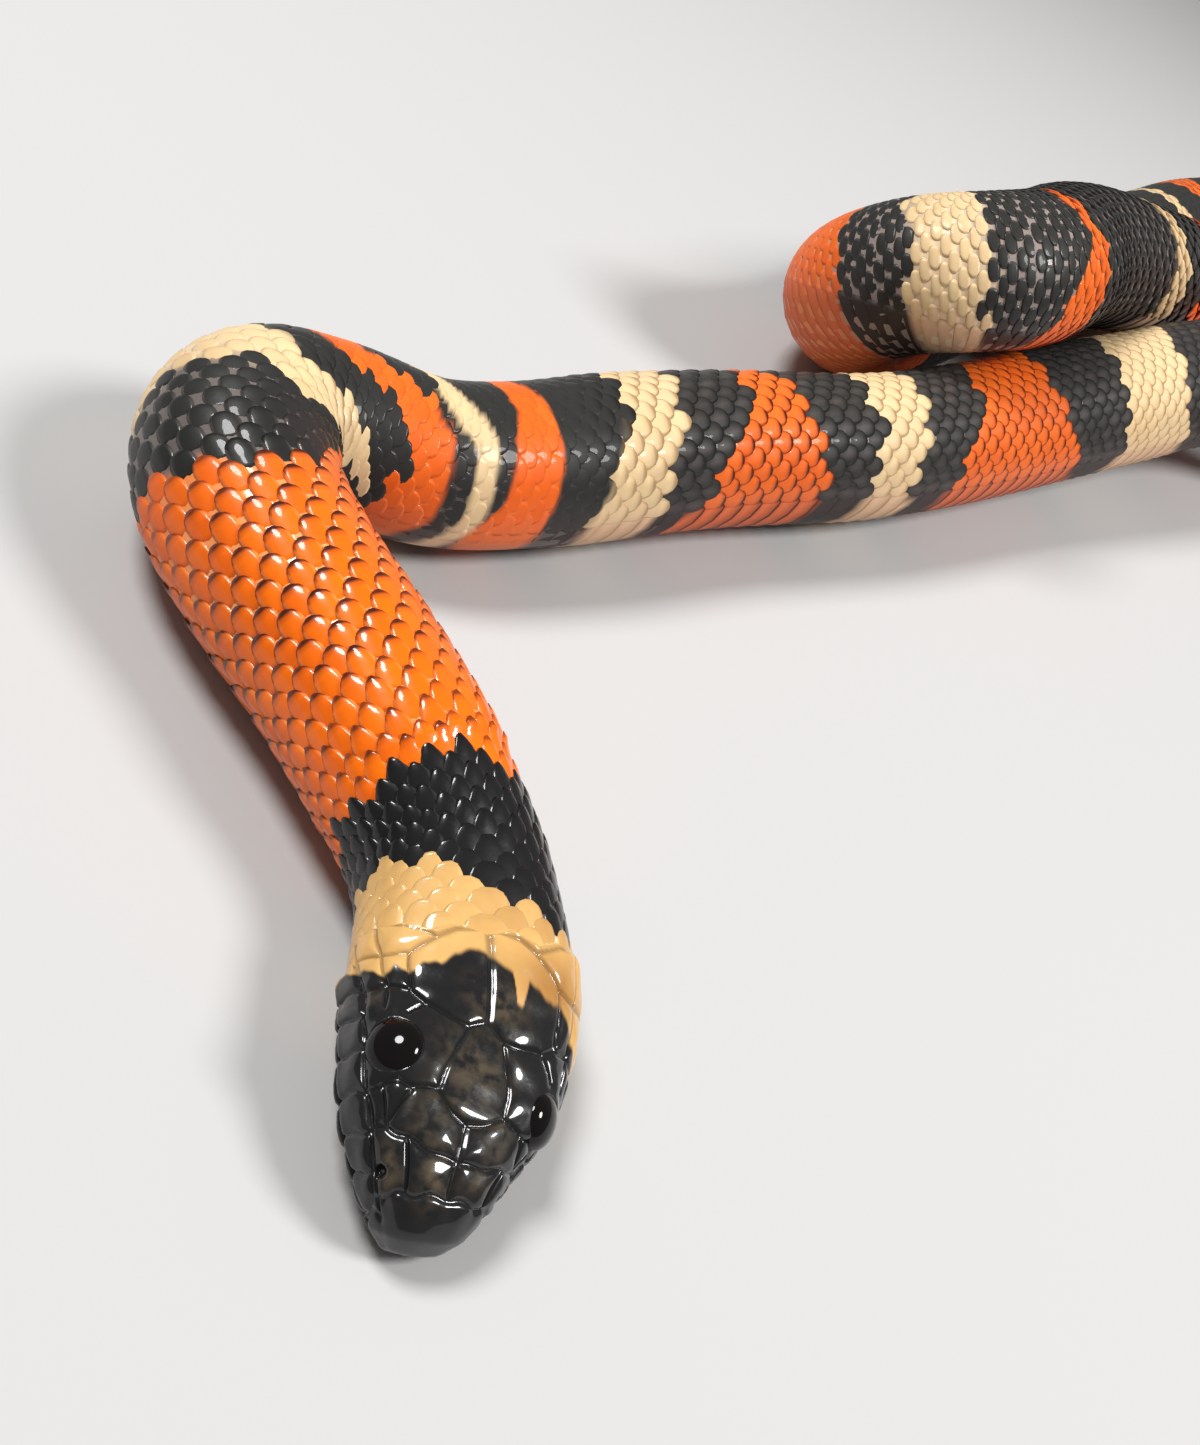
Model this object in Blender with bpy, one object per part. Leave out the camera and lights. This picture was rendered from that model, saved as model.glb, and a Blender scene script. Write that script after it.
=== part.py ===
"""Milk snake lying on the floor in folded loops, life size. Metres, +Z up."""
import math

import bmesh
import bpy
import numpy as np

MM = 0.001
GAP = 0.3            # between neighbouring sub-parts, mm
LENGTH_KEY = 1216.0  # length the girth list is written for, mm
RING_COLUMNS = 18    # sides of a body ring
RING_STEP = 5.6      # distance between body rings, mm
BEND_STEP = 3.0      # the same where the body folds sharply, mm
BELLY_SEAT = 0.97    # axis height over belly depth, which leaves a narrow flat
INNER_LIMIT = 0.86   # largest reach toward the centre of a bend, of its radius
LINE_STEP = 1.2      # distance between points of the worked centre line, mm
LINE_PASSES = 6      # rounds of smoothing of that line
HEAD_END = 21.4      # rear of the crown shields, mm from the snout
HEAD_COLUMNS = 44
MOUTH_ANGLE = 101.0  # lip line, degrees round from the crown
MOUTH_REAR = 17.4    # corner of the mouth, mm from the snout
MOUTH_DEPTH = 0.45
SHIELD_RISE = 0.22   # height of a shield over the skin, mm
SHIELD_ROOT = 0.7    # depth that it is rooted in the head, mm
SHIELD_GROOVE = 0.13  # half the groove between shields, mm
EYE_AT = (9.4, 46.0)
EYE_RADIUS = 1.9
EYE_SINK = 1.0      # centre of the ball below the skin, mm
NOSTRIL_AT = (3.3, 60.0)
NOSTRIL_RADIUS = 0.42

# centre line from the snout to the tail tip: x, y and height of the belly, mm
ROUTE = [
    (9.0, 55.7, 1.0), (7.5, 58.6, 0.7), (5.8, 63.2, 0.6), (4.6, 68.1, 0.6),
    (2.1, 74.1, 0.4), (-3.0, 81.0, 0.1), (-11.3, 86.5, 0), (-20, 91.8, 0),
    (-29.9, 96.8, 0.2), (-38.3, 102.8, 0.8), (-41.5, 110.8, 1.2),
    (-37.6, 117.2, 1.0), (-28.4, 122.7, 0.4), (-20, 134.2, 0.3),
    (-14, 145, 0.5), (-7, 157, 0.6), (0, 167.5, 0.8), (7, 178, 0.9),
    (14.7, 192, 1.0), (22.3, 206.8, 1.5), (30, 221.5, 2.8),
    (39.3, 238.5, 4.6), (51, 258.5, 7.4), (64, 274, 9.6), (80, 285, 10.6),
    (100, 289, 10.8), (121, 297, 7), (133, 316, 2), (132, 338, 0),
    (118, 355, 0), (97, 360, 0), (77, 353, 0), (62, 335, 1.5),
    (52.1, 315, 6), (45.4, 297.9, 9.2), (38.9, 283.8, 11.3),
    (33.5, 272.9, 12.9), (27.9, 260, 14.8), (22.1, 245, 17.2),
    (17.3, 228, 19.4), (14.1, 210, 21.1), (8.9, 202, 19.7),
    (1.6, 200.3, 14.9), (-3.3, 205.2, 7.6), (-2.4, 215.5, 1.9),
    (1.4, 228.5, 0.1), (5.5, 243, 0), (9.4, 259.1, 0), (13.4, 273.2, 0),
    (18.2, 286.2, 0), (25.2, 304.1, 0), (37, 342, 0), (47.5, 382, 0),
    (60, 412, 0), (82, 430, 0), (110, 428, 0), (135, 410, 0),
    (152, 380, 0), (160, 345, 0), (158, 312, 0), (146, 284, 0),
    (124, 267, 0), (103, 268, 0), (90, 284, 0), (86, 303, 0), (90, 320, 0),
]

# distance from the snout and half width of the body, mm
GIRTH = [(36, 8.5), (55, 8.9), (75, 9.4), (85, 8.9), (97, 8.8), (110, 9.1),
         (120, 9.3), (170, 9.6), (220, 10.5), (260, 10.7), (330, 10.9),
         (430, 11.1), (520, 11.2), (600, 10.7), (640, 10.7), (700, 11.1),
         (800, 10.9), (900, 10.0), (1000, 8.6), (1060, 7.2), (1110, 5.4),
         (1160, 3.6), (1195, 2.1), (1216, 0.7)]
# the head: distance from the snout, half width, rise to crown, drop to chin
HEAD = [(0, 0, 0, 0), (0.25, 2.1, 1.3, 1.2), (1, 3.3, 2.3, 2.0),
        (2.5, 4.6, 3.3, 2.7), (5, 6.1, 4.2, 3.3), (7, 7.0, 4.6, 3.5),
        (9, 7.7, 4.8, 3.8), (12, 8.4, 5.0, 4.1), (15, 8.6, 5.2, 4.4),
        (17.5, 8.7, 5.4, 4.7), (21, 8.7, 5.8, 5.3), (25, 8.3, 6.4, 6.1),
        (30, 8.1, 7.2, 7.0), (36, 8.5, 8.0, 7.8)]
SQUARENESS = [(0, 2.4), (20, 2.4), (34, 2.0)]
# turn of the body about its own line, degrees, right side up
ROLL = [(0, 12), (10, 12), (21, -5), (34, 1), (60, 0), (85, -14), (115, -26),
        (160, -30), (230, -26), (300, -10), (380, 0), (480, 4), (540, 14),
        (600, 16), (640, 10), (690, 0), (1250, 0)]

# names and front ends of the sub-parts behind the head, mm from the snout
LENGTHS = [("neck", HEAD_END), ("body_01", 63), ("body_02", 92),
           ("body_03", 165), ("body_04", 240), ("body_05", 305),
           ("body_06", 370), ("body_07", 435), ("body_08", 510),
           ("body_09", 598), ("body_10", 652), ("body_11", 735),
           ("body_12", 815), ("body_13", 875), ("body_14", 940),
           ("tail_1", 1010), ("tail_2", 1070), ("tail_3", 1125)]
FOLDS = [(66, 92), (600, 650)]

# corners of the head shields: mm from the snout, degrees from the crown
CORNERS = {
    "lip_mid": (0.22, 60), "rostral_lip": (1.1, 97), "rostral_side": (2.2, 72),
    "rostral_top": (2.6, 34), "rostral_apex": (2.7, 0), "cross": (4.2, 0),
    "nasal_top": (4.7, 34), "loreal_top": (5.2, 53), "brow_front": (7.3, 32),
    "front_corner": (7.5, 18), "front_tip": (6.2, 0), "rear_tip": (13.3, 0),
    "rear_corner": (12.6, 6.5), "brow_rear": (13.0, 28),
    "temple_front": (14.0, 38), "temple": (17.6, 38), "crown_side": (19.4, 22),
    "crown_rear": (20.3, 12), "crown_notch": (20.5, 0),
    "nasal_rear": (5.1, 66), "loreal_rear": (7.0, 54),
    "loreal_low": (7.0, 68), "orbit_front": (7.5, 42),
    "orbit_low": (7.9, 67), "post_top": (11.9, 38), "post_mid": (12.1, 53),
    "post_low": (11.6, 69), "post_rear": (14.0, 53), "post_base": (13.9, 70),
    "temple_mid": (17.5, 56), "temple_low": (17.4, 76), "ear_top": (20.6, 38),
    "ear_mid": (20.8, 58), "ear_low": (20.8, 77),
}
RIGHT_SHIELDS = [
    ("rostral_apex", "cross", "nasal_top", "rostral_top"),
    ("cross", "front_tip", "front_corner", "brow_front", "loreal_top",
     "nasal_top"),
    ("front_corner", "rear_corner", "brow_rear", "post_top", "orbit_front",
     "brow_front"),
    ("rear_tip", "crown_notch", "crown_rear", "crown_side", "temple",
     "temple_front", "brow_rear", "rear_corner"),
    ("rostral_top", "nasal_top", "loreal_top", "nasal_rear", "rostral_side"),
    ("loreal_top", "loreal_rear", "loreal_low", "nasal_rear"),
    ("loreal_rear", "orbit_front", "orbit_low", "loreal_low"),
    ("post_top", "brow_rear", "temple_front", "post_rear", "post_mid"),
    ("post_mid", "post_rear", "post_base", "post_low"),
    ("temple_front", "temple", "temple_mid", "post_rear"),
    ("post_rear", "temple_mid", "temple_low", "post_base"),
    ("temple", "crown_side", "ear_top", "ear_mid", "temple_mid"),
    ("temple_mid", "ear_mid", "ear_low", "temple_low"),
]
FRONTAL = ("front_tip", "front_corner", "rear_corner", "rear_tip")
LABIAL_CUTS = [1.6, 3.2, 4.9, 6.9, 9.2, 11.6, 14.0, 17.0]
LABIAL_TOPS = [64, 66, 67, 69, 70, 70, 72, 78]
LOWER_CUTS = [1.3, 2.8, 4.6, 6.7, 9.1, 11.7, 14.3, 17.2]
CHIN_CUTS = [2.6, 7.6, 12.2]


def ramp(rows, at, column=1):
    """Straight-line reading of a list of rows at the distances given."""
    table = np.array(rows, float)
    return np.interp(at, table[:, 0], table[:, column])


def eased(values, passes):
    """Repeated 1-2-1 smoothing that keeps both ends."""
    out = np.array(values, float)
    for _ in range(passes):
        mid = 0.25 * out[:-2] + 0.5 * out[1:-1] + 0.25 * out[2:]
        out = np.concatenate([out[:1], mid, out[-1:]])
    return out


def blend(p, q, t, start, end):
    return (end - t) / (end - start) * p + (t - start) / (end - start) * q


def curve_through(points, per=16):
    """Centripetal curve through the points, its knots spaced in plan."""
    pts = np.array(points, float)
    pts = np.vstack([2 * pts[0] - pts[1], pts, 2 * pts[-1] - pts[-2]])
    out = []
    for i in range(1, len(pts) - 2):
        p = pts[i - 1:i + 3]
        t = [0.0]
        for k in range(3):
            t.append(t[-1] + math.sqrt(math.dist(p[k][:2], p[k + 1][:2])))
        for u in np.linspace(t[1], t[2], per, endpoint=False):
            a = [blend(p[k], p[k + 1], u, t[k], t[k + 1]) for k in range(3)]
            b = [blend(a[k], a[k + 1], u, t[k], t[k + 2]) for k in range(2)]
            out.append(blend(b[0], b[1], u, t[1], t[2]))
    out.append(pts[-2])
    return np.array(out)


def distances(line):
    steps = np.linalg.norm(np.diff(line, axis=0), axis=1)
    return np.concatenate([[0.0], np.cumsum(steps)])


def sizes(s, length):
    """Half width, rise and drop of the body at s."""
    key = np.where(s > 300, 300 + (s - 300) * (LENGTH_KEY - 300) / (length - 300), s)
    girth = ramp(GIRTH, key)
    front = s < HEAD[-1][0]
    width = np.where(front, ramp(HEAD, s, 1), girth)
    rise = np.where(front, ramp(HEAD, s, 2), girth * 0.99)
    drop = np.where(front, ramp(HEAD, s, 3), girth * 0.96)
    return width, rise, drop


class Body:
    """Centre line of the snake with the frame and size of each section."""

    def __init__(self):
        line = curve_through(ROUTE)
        along = distances(line)
        count = int(round(along[-1] / LINE_STEP))
        even = np.linspace(0, along[-1], count + 1)
        line = np.stack([np.interp(even, along, line[:, k]) for k in range(3)], 1)
        line = eased(line, LINE_PASSES)
        self.s = distances(line)
        self.length = self.s[-1]
        drop = sizes(self.s, self.length)[2]
        line[:, 2] += BELLY_SEAT * eased(drop, 3)
        self.line = line
        tangent = np.gradient(line, axis=0)
        tangent = eased(tangent, 3)
        self.tangent = tangent / np.linalg.norm(tangent, axis=1)[:, None]
        turn = np.gradient(self.tangent, axis=0) / np.gradient(self.s)[:, None]
        self.turn = eased(turn, 2)

    def read(self, values, s):
        return np.stack([np.interp(s, self.s, values[:, k]) for k in range(3)], -1)

    def frame(self, s):
        """Axis points and the forward-to-back, left and up vectors at s."""
        at = self.read(self.line, s)
        back = self.read(self.tangent, s)
        back /= np.linalg.norm(back, axis=-1)[..., None]
        left = np.cross(back, np.array([0.0, 0.0, 1.0]))
        left /= np.linalg.norm(left, axis=-1)[..., None]
        up = np.cross(left, back)
        tilt = np.radians(ramp(ROLL, s))[..., None]
        up, left = up * np.cos(tilt) + left * np.sin(tilt), left * np.cos(tilt) - up * np.sin(tilt)
        return at, back, left, up

    def surface(self, s, angle, lift=0.0):
        """Skin points at s and the angle from the crown, right side positive."""
        s, angle, lift = np.broadcast_arrays(np.array(s, float), np.array(angle, float), lift)
        at, _, left, up = self.frame(s)
        width, rise, drop = sizes(s, self.length)
        power = 2.0 / ramp(SQUARENESS, s)
        turn = np.radians(angle)
        across = np.sign(np.sin(turn)) * np.abs(np.sin(turn)) ** power * width
        upward = np.sign(np.cos(turn)) * np.abs(np.cos(turn)) ** power
        upward = upward * np.where(upward > 0, rise, drop)
        grow = 1.0 + (lift + head_form(s, angle)) / np.maximum(np.hypot(across, upward), 0.6)
        out = (upward * grow)[..., None] * up - (across * grow)[..., None] * left
        curl = self.read(self.turn, s)
        bend = np.linalg.norm(curl, axis=-1)
        inward = curl / np.maximum(bend, 1e-9)[..., None]
        reach = (out * inward).sum(-1)
        limit = INNER_LIMIT / np.maximum(bend, 1e-6)
        out = out - np.maximum(reach - limit, 0.0)[..., None] * inward
        points = at + out
        points[..., 2] = np.maximum(points[..., 2], 0.0)
        return points


def bump(value, centre, spread):
    return np.exp(-(((value - centre) / spread) ** 2))


def head_form(s, angle):
    """Swellings and hollows of the head over its plain section, mm."""
    side = np.abs(angle)
    eye = 0.45 * bump(s, EYE_AT[0], 2.6) * bump(side, EYE_AT[1] - 6, 17)
    cheek = -0.35 * bump(s, 5.6, 1.8) * bump(side, 60, 15)
    jaw = 0.35 * bump(s, 16.5, 3.2) * bump(side, 92, 20)
    crown = -0.12 * bump(s, 10, 4.0) * bump(side, 0, 12)
    return eye + cheek + jaw + crown


def new_material(name, colour, rough):
    mat = bpy.data.materials.new(name)
    mat.use_nodes = True
    shader = mat.node_tree.nodes["Principled BSDF"]
    shader.inputs["Base Color"].default_value = (*colour, 1.0)
    shader.inputs["Roughness"].default_value = rough
    return mat


def new_object(name, points, faces, mat=None):
    mesh = bpy.data.meshes.new(name)
    mesh.from_pydata([tuple(p * MM) for p in points], [], faces)
    mesh.validate()
    work = bmesh.new()
    work.from_mesh(mesh)
    bmesh.ops.recalc_face_normals(work, faces=work.faces)
    bmesh.ops.triangulate(work, faces=work.faces)
    work.to_mesh(mesh)
    work.free()
    obj = bpy.data.objects.new(name, mesh)
    bpy.context.scene.collection.objects.link(obj)
    if mat:
        mesh.materials.append(mat)
    return obj


def closed_rings(rings):
    """Points and faces of a solid from rings of equal count, ends capped."""
    rows = len(rings)
    cols = len(rings[0])
    points = [p for ring in rings for p in ring]
    faces = []
    for i in range(rows - 1):
        for j in range(cols):
            k = (j + 1) % cols
            faces.append((i * cols + j, i * cols + k, (i + 1) * cols + k))
            faces.append((i * cols + j, (i + 1) * cols + k, (i + 1) * cols + j))
    for i, ring in ((0, rings[0]), (rows - 1, rings[-1])):
        points.append(np.mean(ring, axis=0))
        hub = len(points) - 1
        for j in range(cols):
            faces.append((i * cols + j, i * cols + (j + 1) % cols, hub))
    return points, faces


def body_length(body, name, start, end, mat):
    """One stretch of the body or tail as a tube of rings."""
    stops = [start]
    while stops[-1] < end:
        fold = any(a <= stops[-1] <= b for a, b in FOLDS)
        stops.append(stops[-1] + (BEND_STEP if fold else RING_STEP))
    stops = np.array(stops)
    stops = start + (stops - start) * (end - start) / (stops[-1] - start)
    angles = (np.arange(RING_COLUMNS) + 0.5) * 360.0 / RING_COLUMNS
    angles = np.where(angles > 180, angles - 360, angles)
    rings = [body.surface(np.full(RING_COLUMNS, s), angles) for s in stops]
    points, faces = closed_rings(rings)
    return new_object(name, points, faces, mat)


def shield(body, corners, name):
    """A raised plate with a bevelled rim, rooted in the head."""
    flat = np.array(corners, float)
    fine = []
    for i in range(len(flat)):
        nxt = flat[(i + 1) % len(flat)]
        steps = max(1, int(round(math.dist(flat[i] * (1, 0.11), nxt * (1, 0.11)) / 1.7)))
        for k in range(steps):
            fine.append(flat[i] + (nxt - flat[i]) * k / steps)
    fine = np.array(fine)
    edge = body.surface(fine[:, 0], fine[:, 1])
    hub = edge.mean(axis=0)
    centre = fine.mean(axis=0)
    reach = np.linalg.norm(edge - hub, axis=1)
    rings = []
    for inset, lift in ((SHIELD_GROOVE, -SHIELD_ROOT), (SHIELD_GROOVE, 0.03),
                        (SHIELD_GROOVE + 0.2, SHIELD_RISE)):
        shrink = (1.0 - inset / reach)[:, None]
        spots = centre + (fine - centre) * shrink
        rings.append(body.surface(spots[:, 0], spots[:, 1], lift))
    points, faces = closed_rings(rings)
    points[-2] = body.surface(centre[0], centre[1], -SHIELD_ROOT)
    points[-1] = body.surface(centre[0], centre[1], SHIELD_RISE + 0.1)
    return new_object(name, points, faces)


def shields(body):
    """All plates of the head, the paired ones on both sides."""
    made = []

    def add(corners):
        made.append(shield(body, corners, "shield_%02d" % len(made)))

    def both(corners):
        add(corners)
        add([(a, -b) for a, b in corners][::-1])

    def middle(half):
        right = [CORNERS[k] for k in half]
        left = [(a, -b) for a, b in right if b][::-1]
        add(right + left)

    middle(FRONTAL)
    middle(("rostral_apex", "rostral_top", "rostral_side", "rostral_lip", "lip_mid"))
    for names in RIGHT_SHIELDS:
        both([CORNERS[k] for k in names])
    for i in range(len(LABIAL_CUTS) - 1):
        front, rear = LABIAL_CUTS[i], LABIAL_CUTS[i + 1]
        low = MOUTH_ANGLE - 3.5
        both([(front, LABIAL_TOPS[i]), (rear, LABIAL_TOPS[i + 1]), (rear, low), (front, low)])
    for i in range(len(LOWER_CUTS) - 1):
        front, rear = LOWER_CUTS[i], LOWER_CUTS[i + 1]
        top = MOUTH_ANGLE + 3.5
        both([(front, top), (rear, top), (rear, 126), (front, 126)])
    for front, rear in zip(CHIN_CUTS[:-1], CHIN_CUTS[1:]):
        both([(front, 129), (rear, 132), (rear, 179), (front, 179)])
    return made


def join_all(target, pieces, name):
    """One union of the collected pieces with the target."""
    group = bpy.data.collections.new(name)
    bpy.context.scene.collection.children.link(group)
    for piece in pieces:
        group.objects.link(piece)
    mod = target.modifiers.new(name, "BOOLEAN")
    mod.operation = "UNION"
    mod.operand_type = "COLLECTION"
    mod.collection = group
    mod.solver = "EXACT"
    settle(target)
    for piece in pieces:
        bpy.data.objects.remove(piece)
    bpy.data.collections.remove(group)


def cut_away(target, tool, name):
    mod = target.modifiers.new(name, "BOOLEAN")
    mod.operation = "DIFFERENCE"
    mod.object = tool
    mod.solver = "EXACT"
    settle(target)
    bpy.data.objects.remove(tool)


def settle(target):
    """Apply the modifiers of an object and keep its largest closed surface."""
    bpy.context.view_layer.update()
    graph = bpy.context.evaluated_depsgraph_get()
    mesh = bpy.data.meshes.new_from_object(target.evaluated_get(graph))
    target.modifiers.clear()
    target.data = mesh
    work = bmesh.new()
    work.from_mesh(mesh)
    bmesh.ops.remove_doubles(work, verts=work.verts, dist=0.000004)
    bmesh.ops.dissolve_degenerate(work, edges=work.edges, dist=0.000004)
    bmesh.ops.triangulate(work, faces=work.faces)
    work.faces.ensure_lookup_table()
    seen = set()
    groups = []
    for first in work.faces:
        if first in seen:
            continue
        group = [first]
        seen.add(first)
        for face in group:
            for edge in face.edges:
                for other in edge.link_faces:
                    if other not in seen:
                        seen.add(other)
                        group.append(other)
        groups.append(group)
    groups.sort(key=len, reverse=True)
    for group in groups[1:]:
        bmesh.ops.delete(work, geom=group, context="FACES")
    loose = [v for v in work.verts if not v.link_faces]
    bmesh.ops.delete(work, geom=loose, context="VERTS")
    bmesh.ops.recalc_face_normals(work, faces=work.faces)
    work.to_mesh(mesh)
    work.free()


def ball(name, centre, radius, mat=None, segments=18, rings=12):
    mesh = bpy.data.meshes.new(name)
    work = bmesh.new()
    bmesh.ops.create_uvsphere(work, u_segments=segments, v_segments=rings, radius=radius * MM)
    bmesh.ops.translate(work, vec=tuple(centre * MM), verts=work.verts)
    bmesh.ops.triangulate(work, faces=work.faces)
    work.to_mesh(mesh)
    work.free()
    obj = bpy.data.objects.new(name, mesh)
    bpy.context.scene.collection.objects.link(obj)
    if mat:
        mesh.materials.append(mat)
    return obj


def head_piece(body, mat):
    """Head with its mouth line, shields, nostrils and eye sockets."""
    stops = [0.06, 0.25, 0.6, 1.1, 1.8, 2.7]
    while stops[-1] < HEAD_END - GAP / 2 - 0.7:
        stops.append(stops[-1] + 1.25)
    stops[-1] = HEAD_END - GAP / 2
    half = np.linspace(0, 180, HEAD_COLUMNS // 2 + 1)
    nearest = np.argmin(np.abs(half - MOUTH_ANGLE))
    half[nearest - 1:nearest + 2] = MOUTH_ANGLE - 3, MOUTH_ANGLE, MOUTH_ANGLE + 3
    angles = np.concatenate([half, -half[-2:0:-1]])
    rings = []
    for s in stops:
        shut = np.where(np.abs(angles) == MOUTH_ANGLE, 1.0, 0.0)
        shut *= MOUTH_DEPTH * min(1.0, max(0.0, (MOUTH_REAR - s) / 2), s)
        rings.append(body.surface(np.full(len(angles), s), angles, -shut))
    points, faces = closed_rings(rings)
    head = new_object("head", points, faces, mat)
    join_all(head, shields(body), "head_shields")
    for side in (1, -1):
        centre = body.surface(EYE_AT[0], side * EYE_AT[1], -EYE_SINK)
        cut_away(head, ball("socket", centre, EYE_RADIUS + GAP), "socket")
        spot = body.surface(NOSTRIL_AT[0], side * NOSTRIL_AT[1], SHIELD_RISE)
        cut_away(head, ball("nostril", spot, NOSTRIL_RADIUS, None, 10, 6), "nostril")
    head.data.materials.clear()
    head.data.materials.append(mat)
    for poly in head.data.polygons:
        poly.material_index = 0
    return head


def build():
    for obj in list(bpy.data.objects):
        bpy.data.objects.remove(obj)
    body = Body()
    dark = new_material("head_shields", (0.02, 0.018, 0.016), 0.25)
    banded = new_material("banded_scales", (0.55, 0.16, 0.04), 0.35)
    glass = new_material("eye_spectacle", (0.008, 0.007, 0.006), 0.08)
    made = [head_piece(body, dark)]
    for word, side in (("right", 1), ("left", -1)):
        centre = body.surface(EYE_AT[0], side * EYE_AT[1], -EYE_SINK)
        made.append(ball("eye_" + word, centre, EYE_RADIUS, glass))
    ends = [start for _, start in LENGTHS[1:]] + [body.length + GAP / 2 - 0.2]
    for (name, start), end in zip(LENGTHS, ends):
        made.append(body_length(body, name, start + GAP / 2, end - GAP / 2, banded))
    low = np.full(3, np.inf)
    high = -low
    for obj in made:
        for vert in obj.data.vertices:
            low = np.minimum(low, vert.co)
            high = np.maximum(high, vert.co)
    shift = np.array([(low[0] + high[0]) / 2, (low[1] + high[1]) / 2, 0.0])
    for obj in made:
        for vert in obj.data.vertices:
            vert.co = [vert.co[k] - shift[k] for k in range(3)]
        obj.data.update()
    print("centre", shift, "length", body.length)
    print("triangles", {obj.name: len(obj.data.polygons) for obj in made})
    print("total", sum(len(obj.data.polygons) for obj in made))


build()
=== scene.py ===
"""Milk snake lying on the floor in folded loops, life size, dressed on its frame."""

import math

import bpy
import numpy as np
from mathutils import Matrix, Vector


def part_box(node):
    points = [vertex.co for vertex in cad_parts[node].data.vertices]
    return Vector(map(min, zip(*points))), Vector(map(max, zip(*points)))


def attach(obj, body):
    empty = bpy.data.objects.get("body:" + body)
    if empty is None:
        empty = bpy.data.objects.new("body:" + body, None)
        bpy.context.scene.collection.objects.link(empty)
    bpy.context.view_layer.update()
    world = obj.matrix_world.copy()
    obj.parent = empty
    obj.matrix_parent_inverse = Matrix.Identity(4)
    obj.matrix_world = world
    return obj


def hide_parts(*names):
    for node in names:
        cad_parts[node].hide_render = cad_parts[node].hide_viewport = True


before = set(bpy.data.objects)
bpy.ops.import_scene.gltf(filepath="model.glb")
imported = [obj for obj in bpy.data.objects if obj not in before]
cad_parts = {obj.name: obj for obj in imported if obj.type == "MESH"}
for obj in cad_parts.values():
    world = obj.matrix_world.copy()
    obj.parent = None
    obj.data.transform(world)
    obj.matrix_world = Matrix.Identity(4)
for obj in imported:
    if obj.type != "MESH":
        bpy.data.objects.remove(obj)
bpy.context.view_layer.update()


# Skin
# The soft hide that carries the scales: one tube from the snout to the tail tip.
# On the head it rises into horny shields with grooves between, over lips and jaw.
MM = 0.001
LENGTH_KEY = 1216.0     # length the girth list is written for, mm
FRONT_KEPT = 300        # the list is stretched to the real length behind this, mm
RISE_SHARE = 0.99       # height of the back over the centre line, of the half width
DROP_SHARE = 0.96       # depth of the belly below it
BELLY_SEAT = 0.97       # line's height over the floor, of that depth: a narrow flat
INNER_LIMIT = 0.86      # largest reach toward the centre of a bend, of its radius
LINE_STEP = 1.2         # distance between points of the worked centre line, mm
LINE_PASSES = 6         # rounds of smoothing of that line
COAT_DEPTH = 0.4        # depth of the hide below the tops of the scales, mm
THIN_COAT = 0.3         # its largest depth on the thin tail, of the half width
HEAD_RINGS = 206
HEAD_COLUMNS = 336
BODY_COLUMNS = 56
# rings of the body tube: from, to and the distance between them, mm
BODY_RINGS = [(24.6, 91, 1.4), (91, 107, 0.75), (107, 240, 1.5), (240, 540, 3.8),
              (540, 680, 1.8), (680, 1215, 3.4)]
CROWN_CROWDING = 0.45   # how much closer the columns stand on the crown
SNOUT_CROWDING = 0.35   # share of the rings' spacing that crowds them at the snout
HEAD_SKIN_END = 24.0    # where the fine head mesh joins the plain tube, mm
MOUTH_ANGLE = 101.0     # lip line, degrees round from the crown
MOUTH_REAR = 17.4       # corner of the mouth, mm from the snout
MOUTH_DEPTH = 0.5
MOUTH_HALF = 0.2        # half the width of the line
LIP_ROLL = 0.10         # swelling of the lips beside it
SHIELD_RISE = 0.3       # top of a shield over the plain surface, mm
SEAM_DEPTH = 0.17       # depth of the groove between shields
SEAM_HALF = 0.13        # half its width
# the groove mask paints shade into the grooves between the shields
SEAM_MASK = 0.16        # reach of the dark in the groove
SEAM_SWAY = (0.10, 0.7)     # how far grown grooves wander, mm and degrees
SHIELD_DOME = 0.17      # how far a shield falls away from its middle
DOME_REACH = (0.45, 1.6)    # of its steep edge and of its gentle slope, mm
SHIELD_WAVE = 0.05      # slight unevenness of the shields
EYE_AT = (9.4, 46.0)    # distance from the snout and angle from the crown
EYE_SINK = 1.0          # centre of the frame's eye below the surface
SOCKET_RADIUS = 1.70
SOCKET_DEPTH = 0.7
SOCKET_RIM = 0.03       # swelling of the small shields round the eye
NOSTRIL_AT = (3.3, 60.0)
NOSTRIL_RADIUS = 0.42
NOSTRIL_DEPTH = 0.6

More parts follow.
